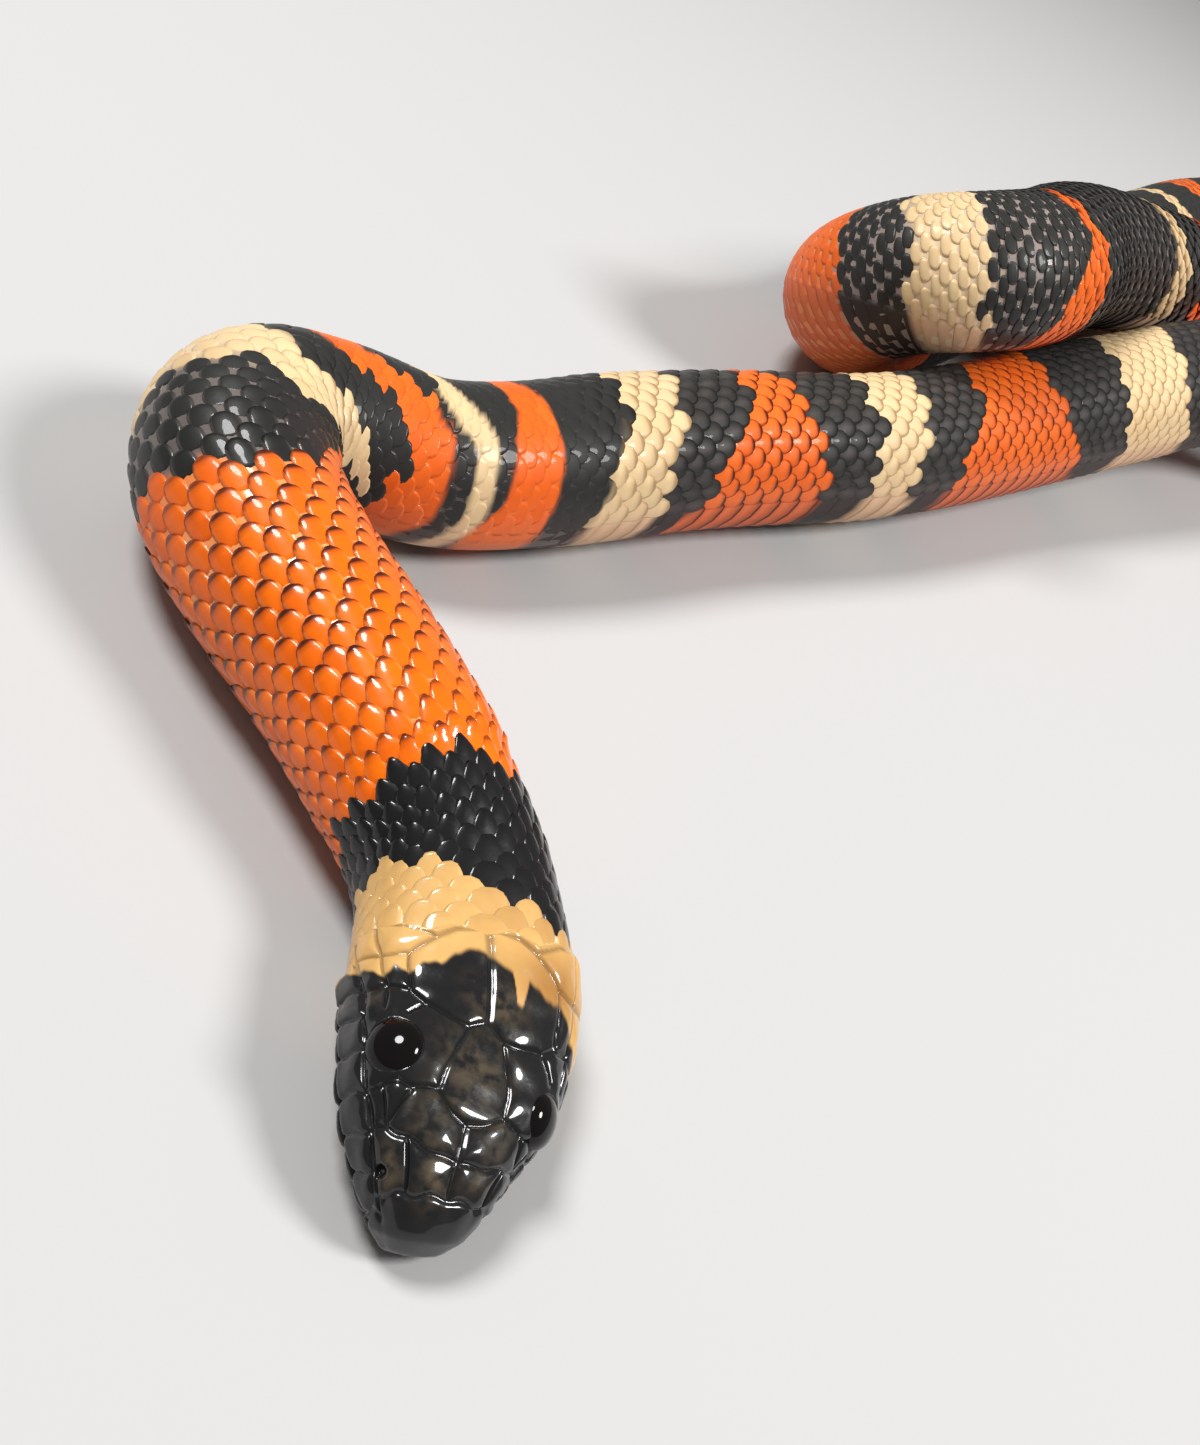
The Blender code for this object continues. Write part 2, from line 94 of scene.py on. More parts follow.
# centre line from the snout to the tail tip: x, y and height of the belly, mm
ROUTE = [
    (9.0, 55.7, 1.0), (7.5, 58.6, 0.7), (5.8, 63.2, 0.6), (4.6, 68.1, 0.6),
    (2.1, 74.1, 0.4), (-3.0, 81.0, 0.1), (-11.3, 86.5, 0), (-20, 91.8, 0),
    (-29.9, 96.8, 0.2), (-38.3, 102.8, 0.8), (-41.5, 110.8, 1.2),
    (-37.6, 117.2, 1.0), (-28.4, 122.7, 0.4), (-20, 134.2, 0.3),
    (-14, 145, 0.5), (-7, 157, 0.6), (0, 167.5, 0.8), (7, 178, 0.9),
    (14.7, 192, 1.0), (22.3, 206.8, 1.5), (30, 221.5, 2.8),
    (39.3, 238.5, 4.6), (51, 258.5, 7.4), (64, 274, 9.6), (80, 285, 10.6),
    (100, 289, 10.8), (121, 297, 7), (133, 316, 2), (132, 338, 0),
    (118, 355, 0), (97, 360, 0), (77, 353, 0), (62, 335, 1.5),
    (52.1, 315, 6), (45.4, 297.9, 9.2), (38.9, 283.8, 11.3),
    (33.5, 272.9, 12.9), (27.9, 260, 14.8), (22.1, 245, 17.2),
    (17.3, 228, 19.4), (14.1, 210, 21.1), (8.9, 202, 19.7),
    (1.6, 200.3, 14.9), (-3.3, 205.2, 7.6), (-2.4, 215.5, 1.9),
    (1.4, 228.5, 0.1), (5.5, 243, 0), (9.4, 259.1, 0), (13.4, 273.2, 0),
    (18.2, 286.2, 0), (25.2, 304.1, 0), (37, 342, 0), (47.5, 382, 0),
    (60, 412, 0), (82, 430, 0), (110, 428, 0), (135, 410, 0),
    (152, 380, 0), (160, 345, 0), (158, 312, 0), (146, 284, 0),
    (124, 267, 0), (103, 268, 0), (90, 284, 0), (86, 303, 0), (90, 320, 0),
]
# distance from the snout and half width of the body, mm
GIRTH = [(36, 8.5), (55, 8.9), (75, 9.4), (85, 8.9), (97, 8.8), (110, 9.1),
         (120, 9.3), (170, 9.6), (220, 10.5), (260, 10.7), (330, 10.9),
         (430, 11.1), (520, 11.2), (600, 10.7), (640, 10.7), (700, 11.1),
         (800, 10.9), (900, 10.0), (1000, 8.6), (1060, 7.2), (1110, 5.4),
         (1160, 3.6), (1195, 2.1), (1216, 0.7)]
# the head: distance from the snout, half width, rise to crown, drop to chin
HEAD = [(0, 0, 0, 0), (0.25, 2.1, 1.3, 1.2), (1, 3.3, 2.3, 2.0),
        (2.5, 4.6, 3.3, 2.7), (5, 6.1, 4.2, 3.3), (7, 7.0, 4.6, 3.5),
        (9, 7.7, 4.8, 3.8), (12, 8.4, 5.0, 4.1), (15, 8.6, 5.2, 4.4),
        (17.5, 8.7, 5.4, 4.7), (21, 8.7, 5.8, 5.3), (25, 8.3, 6.4, 6.1),
        (30, 8.1, 7.2, 7.0), (36, 8.5, 8.0, 7.8)]
# swellings and hollows of the head: height in mm, middle and reach from the snout
# in mm, middle and reach from the crown in degrees
HEAD_SWELLS = [
    (0.45, 9.4, 2.6, 40, 17),     # over the eye
    (-0.35, 5.6, 1.8, 60, 15),    # before the eye
    (0.35, 16.5, 3.2, 92, 20),    # jaw muscle
    (-0.12, 10, 4.0, 0, 12),      # flat of the crown
]
SQUARENESS = [(0, 2.4), (20, 2.4), (34, 2.0)]
# turn of the body about its own line, degrees, right side up
ROLL = [(0, 12), (10, 12), (21, -5), (34, 1), (60, 0), (85, -14), (115, -26),
        (160, -30), (230, -26), (300, -10), (380, 0), (480, 4), (540, 14),
        (600, 16), (640, 10), (690, 0), (1250, 0)]
# corners of the head shields: mm from the snout, degrees from the crown
CORNERS = {
    "rostral_lip": (1.1, 97), "rostral_side": (2.2, 72), "rostral_top": (2.6, 34),
    "rostral_apex": (2.7, 0), "cross": (4.2, 0),
    "nasal_top": (4.7, 34), "loreal_top": (5.2, 53), "brow_front": (7.3, 32),
    "front_corner": (7.5, 18), "front_tip": (6.2, 0), "rear_tip": (13.3, 0),
    "rear_corner": (12.6, 6.5), "brow_rear": (13.0, 28),
    "temple_front": (14.0, 38), "temple": (17.6, 38), "crown_side": (19.4, 22),
    "crown_rear": (20.3, 12), "crown_notch": (20.5, 0),
    "nasal_rear": (5.1, 66), "loreal_rear": (7.0, 54),
    "loreal_low": (7.0, 68), "orbit_front": (7.5, 42),
    "orbit_low": (7.9, 67), "post_top": (11.9, 38), "post_mid": (12.1, 53),
    "post_low": (11.6, 69), "post_rear": (14.0, 53), "post_base": (13.9, 70),
    "temple_mid": (17.5, 56), "temple_low": (17.4, 76), "ear_top": (20.6, 38),
    "ear_mid": (20.8, 58), "ear_low": (20.8, 77),
}
# seams as runs of corners, the same on both sides
SEAMS = [
    ("rostral_apex", "cross", "front_tip"), ("rear_tip", "crown_notch"),
    ("rostral_lip", "rostral_side", "rostral_top", "rostral_apex"),
    ("rostral_top", "nasal_top", "cross"),
    ("nasal_top", "loreal_top", "brow_front", "front_corner", "front_tip"),
    ("front_corner", "rear_corner", "rear_tip"),
    ("rear_corner", "brow_rear", "temple_front", "temple", "crown_side"),
    ("crown_side", "crown_rear", "crown_notch"),
    ("loreal_top", "nasal_rear", "rostral_side"),
    ("loreal_top", "loreal_rear", "loreal_low", "nasal_rear"),
    ("loreal_rear", "orbit_front", "brow_front"),
    ("loreal_low", "orbit_low"), ("brow_rear", "post_top"),
    ("temple_front", "post_rear", "post_mid"), ("post_rear", "post_base"),
    ("post_low", "post_base", "temple_low", "ear_low"),
    ("post_rear", "temple_mid", "temple"), ("temple_mid", "temple_low"),
    ("temple_mid", "ear_mid"), ("crown_side", "ear_top"),
    ("ear_top", "ear_mid", "ear_low"),
]
LABIAL_CUTS = [1.6, 3.2, 4.9, 6.9, 9.2, 11.6, 14.0, 17.0]
LABIAL_TOPS = [64, 66, 67, 69, 70, 70, 72, 78]
LOWER_CUTS = [1.3, 2.8, 4.6, 6.7, 9.1, 11.7, 14.3, 17.2]
LOWER_EDGE = 127.5   # where the lower lip shields meet the chin shields
CHIN_CUTS = [2.6, 7.6, 12.2]
# rear edge of the shields: degrees from the crown, mm from the snout
SHIELD_END = [(0, 20.3), (10, 20.9), (24, 20.2), (40, 20.9), (77, 20.9),
              (80, 17.1), (126, 17.2), (129, 12.4), (180, 12.2)]


def ramp(rows, at, column=1):
    """Straight-line reading of a list of rows at the distances given."""
    table = np.array(rows, float)
    return np.interp(at, table[:, 0], table[:, column])


def eased(values, passes):
    """Repeated 1-2-1 smoothing that keeps both ends."""
    out = np.array(values, float)
    for _ in range(passes):
        mid = 0.25 * out[:-2] + 0.5 * out[1:-1] + 0.25 * out[2:]
        out = np.concatenate([out[:1], mid, out[-1:]])
    return out


def blend(p, q, t, start, end):
    """Point between p at start and q at end."""
    return (end - t) / (end - start) * p + (t - start) / (end - start) * q


def curve_through(points, per=16):
    """Centripetal curve through the points, its knots spaced in plan."""
    pts = np.array(points, float)
    pts = np.vstack([2 * pts[0] - pts[1], pts, 2 * pts[-1] - pts[-2]])
    out = []
    for i in range(1, len(pts) - 2):
        p = pts[i - 1:i + 3]
        t = [0.0]
        for k in range(3):
            t.append(t[-1] + math.sqrt(math.dist(p[k][:2], p[k + 1][:2])))
        for u in np.linspace(t[1], t[2], per, endpoint=False):
            a = [blend(p[k], p[k + 1], u, t[k], t[k + 1]) for k in range(3)]
            b = [blend(a[k], a[k + 1], u, t[k], t[k + 2]) for k in range(2)]
            out.append(blend(b[0], b[1], u, t[1], t[2]))
    out.append(pts[-2])
    return np.array(out)


def distances(line):
    """Length along the line up to each of its points."""
    steps = np.linalg.norm(np.diff(line, axis=0), axis=1)
    return np.concatenate([[0.0], np.cumsum(steps)])


def sizes(s, length):
    """Half width, rise and drop of the body at s."""
    past = s - FRONT_KEPT
    rear = FRONT_KEPT + past * (LENGTH_KEY - FRONT_KEPT) / (length - FRONT_KEPT)
    key = np.where(past > 0, rear, s)
    girth = ramp(GIRTH, key)
    front = s < HEAD[-1][0]
    width = np.where(front, ramp(HEAD, s, 1), girth)
    rise = np.where(front, ramp(HEAD, s, 2), girth * RISE_SHARE)
    drop = np.where(front, ramp(HEAD, s, 3), girth * DROP_SHARE)
    return width, rise, drop


def bump(value, centre, spread):
    """Bell curve of height 1 at the centre."""
    return np.exp(-(((value - centre) / spread) ** 2))


def step(value, start, end):
    """Smooth rise from 0 at start to 1 at end."""
    t = np.clip((value - start) / (end - start), 0.0, 1.0)
    return t * t * (3.0 - 2.0 * t)


def between(value, rise, full, fall, end):
    """Smooth rise from 0 to 1 and fall back to 0."""
    return step(value, rise, full) * (1 - step(value, fall, end))


def wrapped(angle):
    """The angle from the crown as one of -180 to 180 degrees."""
    return (np.array(angle, float) + 180.0) % 360.0 - 180.0


def head_form(s, angle):
    """Swellings and hollows of the head over its plain section, mm."""
    side = np.abs(angle)
    return sum(height * bump(s, at, reach) * bump(side, turn, spread)
               for height, at, reach, turn, spread in HEAD_SWELLS)


class Body:
    """Centre line of the snake with the frame and size of each section."""

    def __init__(self):
        line = curve_through(ROUTE)
        along = distances(line)
        count = int(round(along[-1] / LINE_STEP))
        even = np.linspace(0, along[-1], count + 1)
        line = np.stack([np.interp(even, along, line[:, k]) for k in range(3)], 1)
        line = eased(line, LINE_PASSES)
        self.s = distances(line)
        self.length = self.s[-1]
        drop = sizes(self.s, self.length)[2]
        line[:, 2] += BELLY_SEAT * eased(drop, 3)
        self.line = line
        tangent = np.gradient(line, axis=0)
        tangent = eased(tangent, 3)
        self.tangent = tangent / np.linalg.norm(tangent, axis=1)[:, None]
        turn = np.gradient(self.tangent, axis=0) / np.gradient(self.s)[:, None]
        self.turn = eased(turn, 2)

    def read(self, values, s):
        """Values of the centre line's points, read at s."""
        return np.stack([np.interp(s, self.s, values[:, k]) for k in range(3)], -1)

    def frame(self, s):
        """Points of the centre line and the vectors to the tail, left and up at s."""
        at = self.read(self.line, s)
        back = self.read(self.tangent, s)
        back /= np.linalg.norm(back, axis=-1)[..., None]
        left = np.cross(back, np.array([0.0, 0.0, 1.0]))
        left /= np.linalg.norm(left, axis=-1)[..., None]
        up = np.cross(left, back)
        tilt = np.radians(ramp(ROLL, s))[..., None]
        turned = up * np.cos(tilt) + left * np.sin(tilt)
        left = left * np.cos(tilt) - up * np.sin(tilt)
        return at, back, left, turned

    def surface(self, s, angle):
        """Plain surface at s mm from the snout and the angle from the crown, right positive."""
        s, angle = np.broadcast_arrays(np.array(s, float), np.array(angle, float))
        at, _, left, up = self.frame(s)
        width, rise, drop = sizes(s, self.length)
        power = 2.0 / ramp(SQUARENESS, s)
        turn = np.radians(angle)
        across = np.sign(np.sin(turn)) * np.abs(np.sin(turn)) ** power * width
        upward = np.sign(np.cos(turn)) * np.abs(np.cos(turn)) ** power
        upward = upward * np.where(upward > 0, rise, drop)
        grow = 1.0 + head_form(s, angle) / np.maximum(np.hypot(across, upward), 0.6)
        out = (upward * grow)[..., None] * up - (across * grow)[..., None] * left
        curl = self.read(self.turn, s)
        bend = np.linalg.norm(curl, axis=-1)
        inward = curl / np.maximum(bend, 1e-9)[..., None]
        reach = (out * inward).sum(-1)
        limit = INNER_LIMIT / np.maximum(bend, 1e-6)
        out = out - np.maximum(reach - limit, 0.0)[..., None] * inward
        points = at + out
        points[..., 2] = np.maximum(points[..., 2], 0.0)
        return points

    def raised(self, s, angle, lift):
        """Surface points moved out along their normal, on the floor or over it."""
        s, angle, lift = np.broadcast_arrays(np.array(s, float), np.array(angle, float), lift)
        base = self.surface(s, angle)
        ds = np.where(s < 2.0, 0.03, 0.25)
        along = self.surface(s + ds, angle) - self.surface(np.maximum(s - ds, 0.01), angle)
        around = self.surface(s, angle + 1.0) - self.surface(s, angle - 1.0)
        normal = np.cross(around, along)
        size = np.linalg.norm(normal, axis=-1)
        normal /= np.maximum(size, 1e-9)[..., None]
        outward = base - self.read(self.line, np.maximum(s, 1.0))
        normal *= np.where((normal * outward).sum(-1) < 0, -1.0, 1.0)[..., None]
        points = base + normal * lift[..., None]
        points[..., 2] = np.maximum(points[..., 2], 0.0)
        return points


body = Body()
eye_box = np.array(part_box("eye_right"))
eye_plain = body.surface(*EYE_AT)
inward = body.frame(np.array(EYE_AT[0]))[0] - eye_plain
eye_centre = eye_plain + EYE_SINK * inward / np.linalg.norm(inward)
# the route starts under the camera and the frame is centred on the floor, so the
# frame's eye tells how far one lies from the other
ORIGIN = eye_centre - eye_box.mean(axis=0) / MM
ORIGIN[2] = 0.0


def placed(points):
    """Points of the route in mm, moved to the frame in metres."""
    return (points - ORIGIN) * MM


def per_degree(s):
    """Millimetres round the body for each degree of the angle."""
    return np.radians(1.0) * sizes(s, body.length)[0]


def seam_list():
    """Every groove of the right half of the head as pairs of corners."""
    pairs = []
    for run in SEAMS:
        spots = [CORNERS[name] for name in run]
        pairs += zip(spots[:-1], spots[1:])
    low = MOUTH_ANGLE
    tops = list(zip(LABIAL_CUTS, LABIAL_TOPS))
    pairs += zip(tops[:-1], tops[1:])
    pairs += [((cut, top), (cut, low)) for cut, top in tops]
    pairs += [((cut, low), (cut, LOWER_EDGE)) for cut in LOWER_CUTS]
    pairs.append(((LOWER_CUTS[0], LOWER_EDGE), (LOWER_CUTS[-1], LOWER_EDGE)))
    pairs += [((cut, LOWER_EDGE), (cut, 180.0)) for cut in CHIN_CUTS]
    pairs.append(((CHIN_CUTS[0], 180.0), (CHIN_CUTS[-1], 180.0)))
    return pairs


def seam_distance(s, side):
    """Distance in mm from the nearest groove between head shields."""
    s = s + SEAM_SWAY[0] * np.sin(side * 0.21 + s * 0.9)
    side = side + SEAM_SWAY[1] * np.sin(s * 1.7 + side * 0.06) * step(side, 3, 12)
    mm_round = per_degree(s)
    nearest = np.full(s.shape, 9.0)
    for (s0, a0), (s1, a1) in seam_list():
        x = s - s0
        y = (side - a0) * mm_round
        rx = s1 - s0
        ry = (a1 - a0) * mm_round
        t = np.clip((x * rx + y * ry) / np.maximum(rx * rx + ry * ry, 1e-9), 0, 1)
        nearest = np.minimum(nearest, np.hypot(x - t * rx, y - t * ry))
    return nearest


def head_relief(s, angle):
    """Height of the head's skin over the plain surface, and the mask of painted shade in its
    grooves.
    """
    side = np.abs(angle)
    gap = seam_distance(s, side)
    plate = step(ramp(SHIELD_END, side) - s, -0.05, 0.22)
    crest = SHIELD_RISE - SEAM_DEPTH * np.exp(-((gap / SEAM_HALF) ** 2))
    fall = np.exp(-gap / DOME_REACH[0]) + 0.6 * np.exp(-gap / DOME_REACH[1])
    crest = crest - SHIELD_DOME * fall
    wave = np.sin(1.9 * s + 0.15 * angle) * np.sin(0.16 * angle - 0.8 * s)
    crest = crest + SHIELD_WAVE * step(s, 0.5, 4.5) * wave
    height = plate * crest - (1 - plate) * COAT_DEPTH
    lip = np.abs(side - MOUTH_ANGLE) * per_degree(s)
    shut = step(MOUTH_REAR + 0.6 - s, 0.0, 2.0)
    height += shut * (LIP_ROLL * bump(lip, 0.75, 0.4) - MOUTH_DEPTH * bump(lip, 0, MOUTH_HALF))
    return height, bump(gap, 0, SEAM_MASK) * plate


# rings of the pattern, from the collar back: angle from the crown and distance
# from the snout of each rear edge, read off along the body
COLLAR_FRONT = [(-96, 13.0), (-76, 14.0), (-53, 15.3), (-40, 16.7), (-31, 16.4),
                (-22, 17.0), (-16, 17.2), (-13, 15.2), (-10, 15.6), (-8, 17.6),
                (-3, 18.2), (4, 18.6), (14, 18.1), (21, 16.8), (30, 16.6), (38, 15.7),
                (46, 16.0), (54, 15.3), (70, 15.9), (90, 16.4), (105, 15.5),
                (128, 13.0), (180, 11.0)]
NECK_EDGES = [
    [(-120, 21.0), (-69, 21.2), (-40, 21.5), (-13, 22.7), (4, 23.9), (24, 25.5), (41, 26.4),
     (64, 26.9), (93, 25.6), (105, 22.5)],
    [(-120, 33), (-45, 33), (-24, 32), (-18, 34), (24, 35), (78, 34), (93, 33), (123, 30)],
    [(-120, 88), (-96, 83), (-80, 75), (-50, 68), (-15, 64), (15, 64), (36, 66), (105, 67)],
    [(-120, 90), (-96, 88), (-72, 80), (-51, 74), (0, 75), (27, 75), (48, 74), (81, 72),
     (120, 72)],
    [(-120, 89.5), (-87, 89), (-72, 87), (-57, 84), (-42, 82), (-27, 79.5), (30, 79.5),
     (90, 79)],
    [(-111, 90.5), (-87, 92), (-75, 93), (-54, 91), (-42, 90), (-21, 84.5), (20, 83)],
    [(-110, 96), (-54, 96), (-36, 94), (-21, 91), (0, 87), (90, 87)],
    [(-110, 98), (-57, 98), (-39, 96), (-15, 94), (20, 91), (90, 90)],
    [(-110, 99.5), (-54, 100), (-36, 99), (-15, 97), (12, 95), (90, 93)],
    [(-123, 98.6), (-93, 101), (-48, 102), (-30, 103), (15, 103), (90, 103)],
    [(-110, 106), (-63, 107), (-21, 107), (15, 106), (90, 106)],
]
# further rear edges as a middle, a share toward the crown and one to the right
FRONT_EDGES = [
    (115.7, 2.7, 3.0), (125.0, 1.9, 4.0), (132.0, 7.0, 2.3), (146.0, -2.0, -1.6),
    (157.6, 0.8, 0.9), (169.5, 0.6, 4.4), (181.2, 4.3, 6.5), (206.5, -5.8, 4.9),
    (219.9, -1.0, 4.2), (241.2, -3.5, 7.5),
]
FAR_STRETCH = (241.2, 560.0, 6)   # from, to and sets of four rings between
LOOP_EDGES = [(607.8, 0.4, 0.0), (612.6, -2.6, 1.2), (620.2, 0.6, 0.6),
              (626.0, 0.4, 0.0), (631.8, 0.0, 0.0), (658.0, 0.0, 0.0)]
TAIL_STRETCH = (669.0, 1176.0, 10)
SET_SHARES = (0.25, 0.35, 0.22, 0.18)   # black, orange, black and cream of a set
RING_SWAY = 1.5         # how far black rings widen and the others narrow on the crown
COLLAR_SWAY = (0.14, 0.07)   # raggedness of the black's edge on the collar, mm


def edge_round(rows, angle):
    """Reading of a ring edge's list of angles and distances, closed round the body."""
    return np.interp(angle, *np.array(rows, float).T, period=360)


def ring_edges():
    """Rear edges of all rings as functions of the angle, in order."""
    draw = np.random.default_rng(7)
    edges = [lambda a, rows=rows: edge_round(rows, a) for rows in NECK_EDGES]

    def waved(mid, crown, right):
        """A rear edge that leans toward the crown and to the right."""
        return lambda a: mid + crown * np.cos(np.radians(a)) + right * np.sin(np.radians(a))

    def sets(start, end, count, first):
        """Rings in sets of four, a little uneven, as they grow."""
        at = start
        pitch = (end - start) / count
        for k in range(count * 4):
            share = SET_SHARES[(k + first) % 4]
            at += share * pitch
            sway = (-RING_SWAY if (k + first) % 2 else RING_SWAY) + draw.normal(0, 0.5)
            edges.append(waved(at + draw.normal(0, 0.6), sway, draw.normal(0, 0.8)))

    edges += [waved(*row) for row in FRONT_EDGES]
    sets(*FAR_STRETCH, 0)
    edges += [waved(*row) for row in LOOP_EDGES]
    sets(*TAIL_STRETCH, 2)
    return edges


EDGES = ring_edges()


def markings(s, angle, soft=0.0):
    """Shares of orange and of cream at each place, the rest being black."""
    angle = wrapped(angle)
    front = edge_round(COLLAR_FRONT, angle) + COLLAR_SWAY[0] * np.sin(angle * 0.31)
    front = front + COLLAR_SWAY[1] * np.sin(angle * 0.83 + 1.0)
    width = max(soft, 1e-6)
    past = [step(s, front - width, front + width)]
    past += [step(s, edge(angle) - width, edge(angle) + width) for edge in EDGES]
    cream = np.zeros(np.shape(s))
    orange = np.zeros(np.shape(s))
    for k in range(len(past)):
        end = past[k + 1] if k + 1 < len(past) else 0.0
        if k % 4 == 0:
            cream += past[k] - end
        elif k % 4 == 2:
            orange += past[k] - end
    return np.clip(orange, 0, 1), np.clip(cream, 0, 1)


# brown flecks of the dark head: mm from the snout, degrees, reach in mm and strength
FLECKS = [(9.9, 3, 2.3, 0.8), (7.3, 5, 0.9, 1.0), (6.9, -17, 1.0, 0.8),
          (3.5, 12, 1.1, 1.0), (5.8, 18, 1.6, 0.7), (3.5, 50, 1.0, 0.9),
          (14.9, -3, 1.7, 0.8), (17.6, -30, 1.3, 0.9), (19.2, -6, 1.2, 1.0),
          (13.0, 62, 1.2, 0.4), (3.9, -14, 1.0, 0.6), (5.6, -20, 1.2, 0.5)]


def golden(s):
    """Share of the warmer colour, full on head and collar and faint behind the neck."""
    return 1.0 - step(s, 45.0, 80.0) * 0.9


def smooth_stretch(s):
    """The stretch behind the first bend where the hide is drawn tight."""
    return between(s, 78, 84, 104, 114)


def pale_gaps(s):
    """Where the hide between the scales shows pale; elsewhere painted shade darkens it."""
    loop = between(s, 545, 558, 655, 675)
    neck = (1 - step(s, 106, 118)) * (1 - 0.45 * step(s, 62, 68))
    return np.maximum(neck, loop) * (1 - 0.6 * smooth_stretch(s))


def flecked(s, angle):
    """Strength of the brown flecks of the head at each place."""
    mm_round = per_degree(s)
    total = np.zeros(np.shape(s))
    for at, turn, reach, strength in FLECKS:
        away = np.hypot(s - at, (angle - turn) * mm_round)
        total = np.maximum(total, strength * bump(away, 0, reach))
    return total


def new_mesh(name, points, faces, material):
    """A smooth-shaded object of these points and faces, in its one finish."""
    mesh = bpy.data.meshes.new(name)
    mesh.from_pydata([tuple(p) for p in points], [], faces)
    mesh.materials.append(material)
    mesh.shade_smooth()
    obj = bpy.data.objects.new(name, mesh)
    bpy.context.scene.collection.objects.link(obj)
    return obj


def paint(obj, name, red, green, blue, alpha):
    """Stores four values a point for the materials to read."""
    layer = obj.data.attributes.new(name, "FLOAT_COLOR", "POINT")
    values = np.stack(np.broadcast_arrays(red, green, blue, alpha), -1)
    layer.data.foreach_set("color", values.reshape(-1).astype(np.float32))


# the masks in the order of the mesh's stored values, of which flecks are the last
MASKS = ("Orange", "Cream", "TipAndShade", "Gold", "Under", "Chance", "BareAndSheen")
# Pigments as linear colours: the first, and the layers over it with the mask and the
# strength of each. The pale hide of the gaps has a second colour for head and neck.
# In each list the layer of the tip mask paints dark scale ends, partly dark pigment and partly
# painted shadow, and painted shade on the hide between the scales.
# The layer of the bare mask is the pale hide, and on the scales also a painted highlight on their
# rims and a painted sheen on their middles.
ORANGE = (0.82, 0.120, 0.012, 1)
ORANGE_LAYERS = [("patch", 1, (0.90, 0.180, 0.022, 1)), ("Gold", 1, (0.96, 0.170, 0.001, 1)),
                 ("Chance", 0.35, (0.76, 0.090, 0.006, 1)), ("Under", 0.8, (0.80, 0.180, 0.070, 1)),
                 ("TipAndShade", 1, (0.065, 0.007, 0.002, 1)),
                 ("BareAndSheen", 1, (0.86, 0.240, 0.070, 1), (0.92, 0.370, 0.120, 1))]
CREAM = (0.82, 0.650, 0.390, 1)
CREAM_LAYERS = [("patch", 1, (0.74, 0.520, 0.270, 1)), ("Chance", 0.3, (0.78, 0.600, 0.380, 1)),
                ("Gold", 1, (0.76, 0.465, 0.165, 1)), ("worn", 0.8, (0.30, 0.115, 0.018, 1)),
                ("Under", 0.8, (0.80, 0.500, 0.330, 1)), ("TipAndShade", 0.75, (0.26, 0.150, 0.060, 1)),
                ("BareAndSheen", 1, (0.90, 0.690, 0.450, 1))]
BLACK = (0.020, 0.020, 0.019, 1)
BLACK_LAYERS = [("grain", 1, (0.038, 0.038, 0.034, 1)), ("Gold", 1, (0.009, 0.009, 0.010, 1)),
                ("TipAndShade", 0.8, (0.004, 0.004, 0.004, 1)), ("Under", 0.6, (0.060, 0.038, 0.036, 1)),
                ("BareAndSheen", 1, (0.300, 0.245, 0.225, 1), (0.090, 0.080, 0.075, 1))]
FLECK_BROWN = (0.085, 0.064, 0.040, 1)
DUST = (0.30, 0.16, 0.10, 1)
DUSTING = 0.22
PATCH_SCALE = 70.0      # of the slow change of colour along the body
GRAIN_SCALE = 900.0     # of the fine grain of each scale


class Wiring:
    """Adds shader nodes to one tree and joins them."""

    def __init__(self, tree):
        self.nodes = tree.nodes
        self.links = tree.links

    def feed(self, socket, value):
        """Sets a constant on the socket, or links what varies to it."""
        if isinstance(value, (float, tuple)):
            socket.default_value = value
        else:
            self.links.new(value, socket)

    def mix(self, share, low, high, kind="MIX"):
        node = self.nodes.new("ShaderNodeMix")
        node.data_type = "RGBA"
        node.blend_type = kind
        for number, value in ((0, share), (6, low), (7, high)):
            self.feed(node.inputs[number], value)
        return node.outputs[2]

    def reckon(self, kind, *values):
        node = self.nodes.new("ShaderNodeMath")
        node.operation = kind
        for socket, value in zip(node.inputs, values):
            self.feed(socket, value)
        return node.outputs[0]

    def noise(self, scale, detail):
        where = self.nodes.new("ShaderNodeTexCoord")
        node = self.nodes.new("ShaderNodeTexNoise")
        node.inputs["Scale"].default_value = scale
        node.inputs["Detail"].default_value = detail
        self.links.new(where.outputs["Object"], node.inputs["Vector"])
        return node.outputs["Fac"]

    def stored(self, name):
        """The four values that paint() kept on the mesh under this name."""
        kept = self.nodes.new("ShaderNodeAttribute")
        kept.attribute_name = name
        parted = self.nodes.new("ShaderNodeSeparateColor")
        self.links.new(kept.outputs["Color"], parted.inputs["Color"])
        return [*parted.outputs, kept.outputs["Alpha"]]


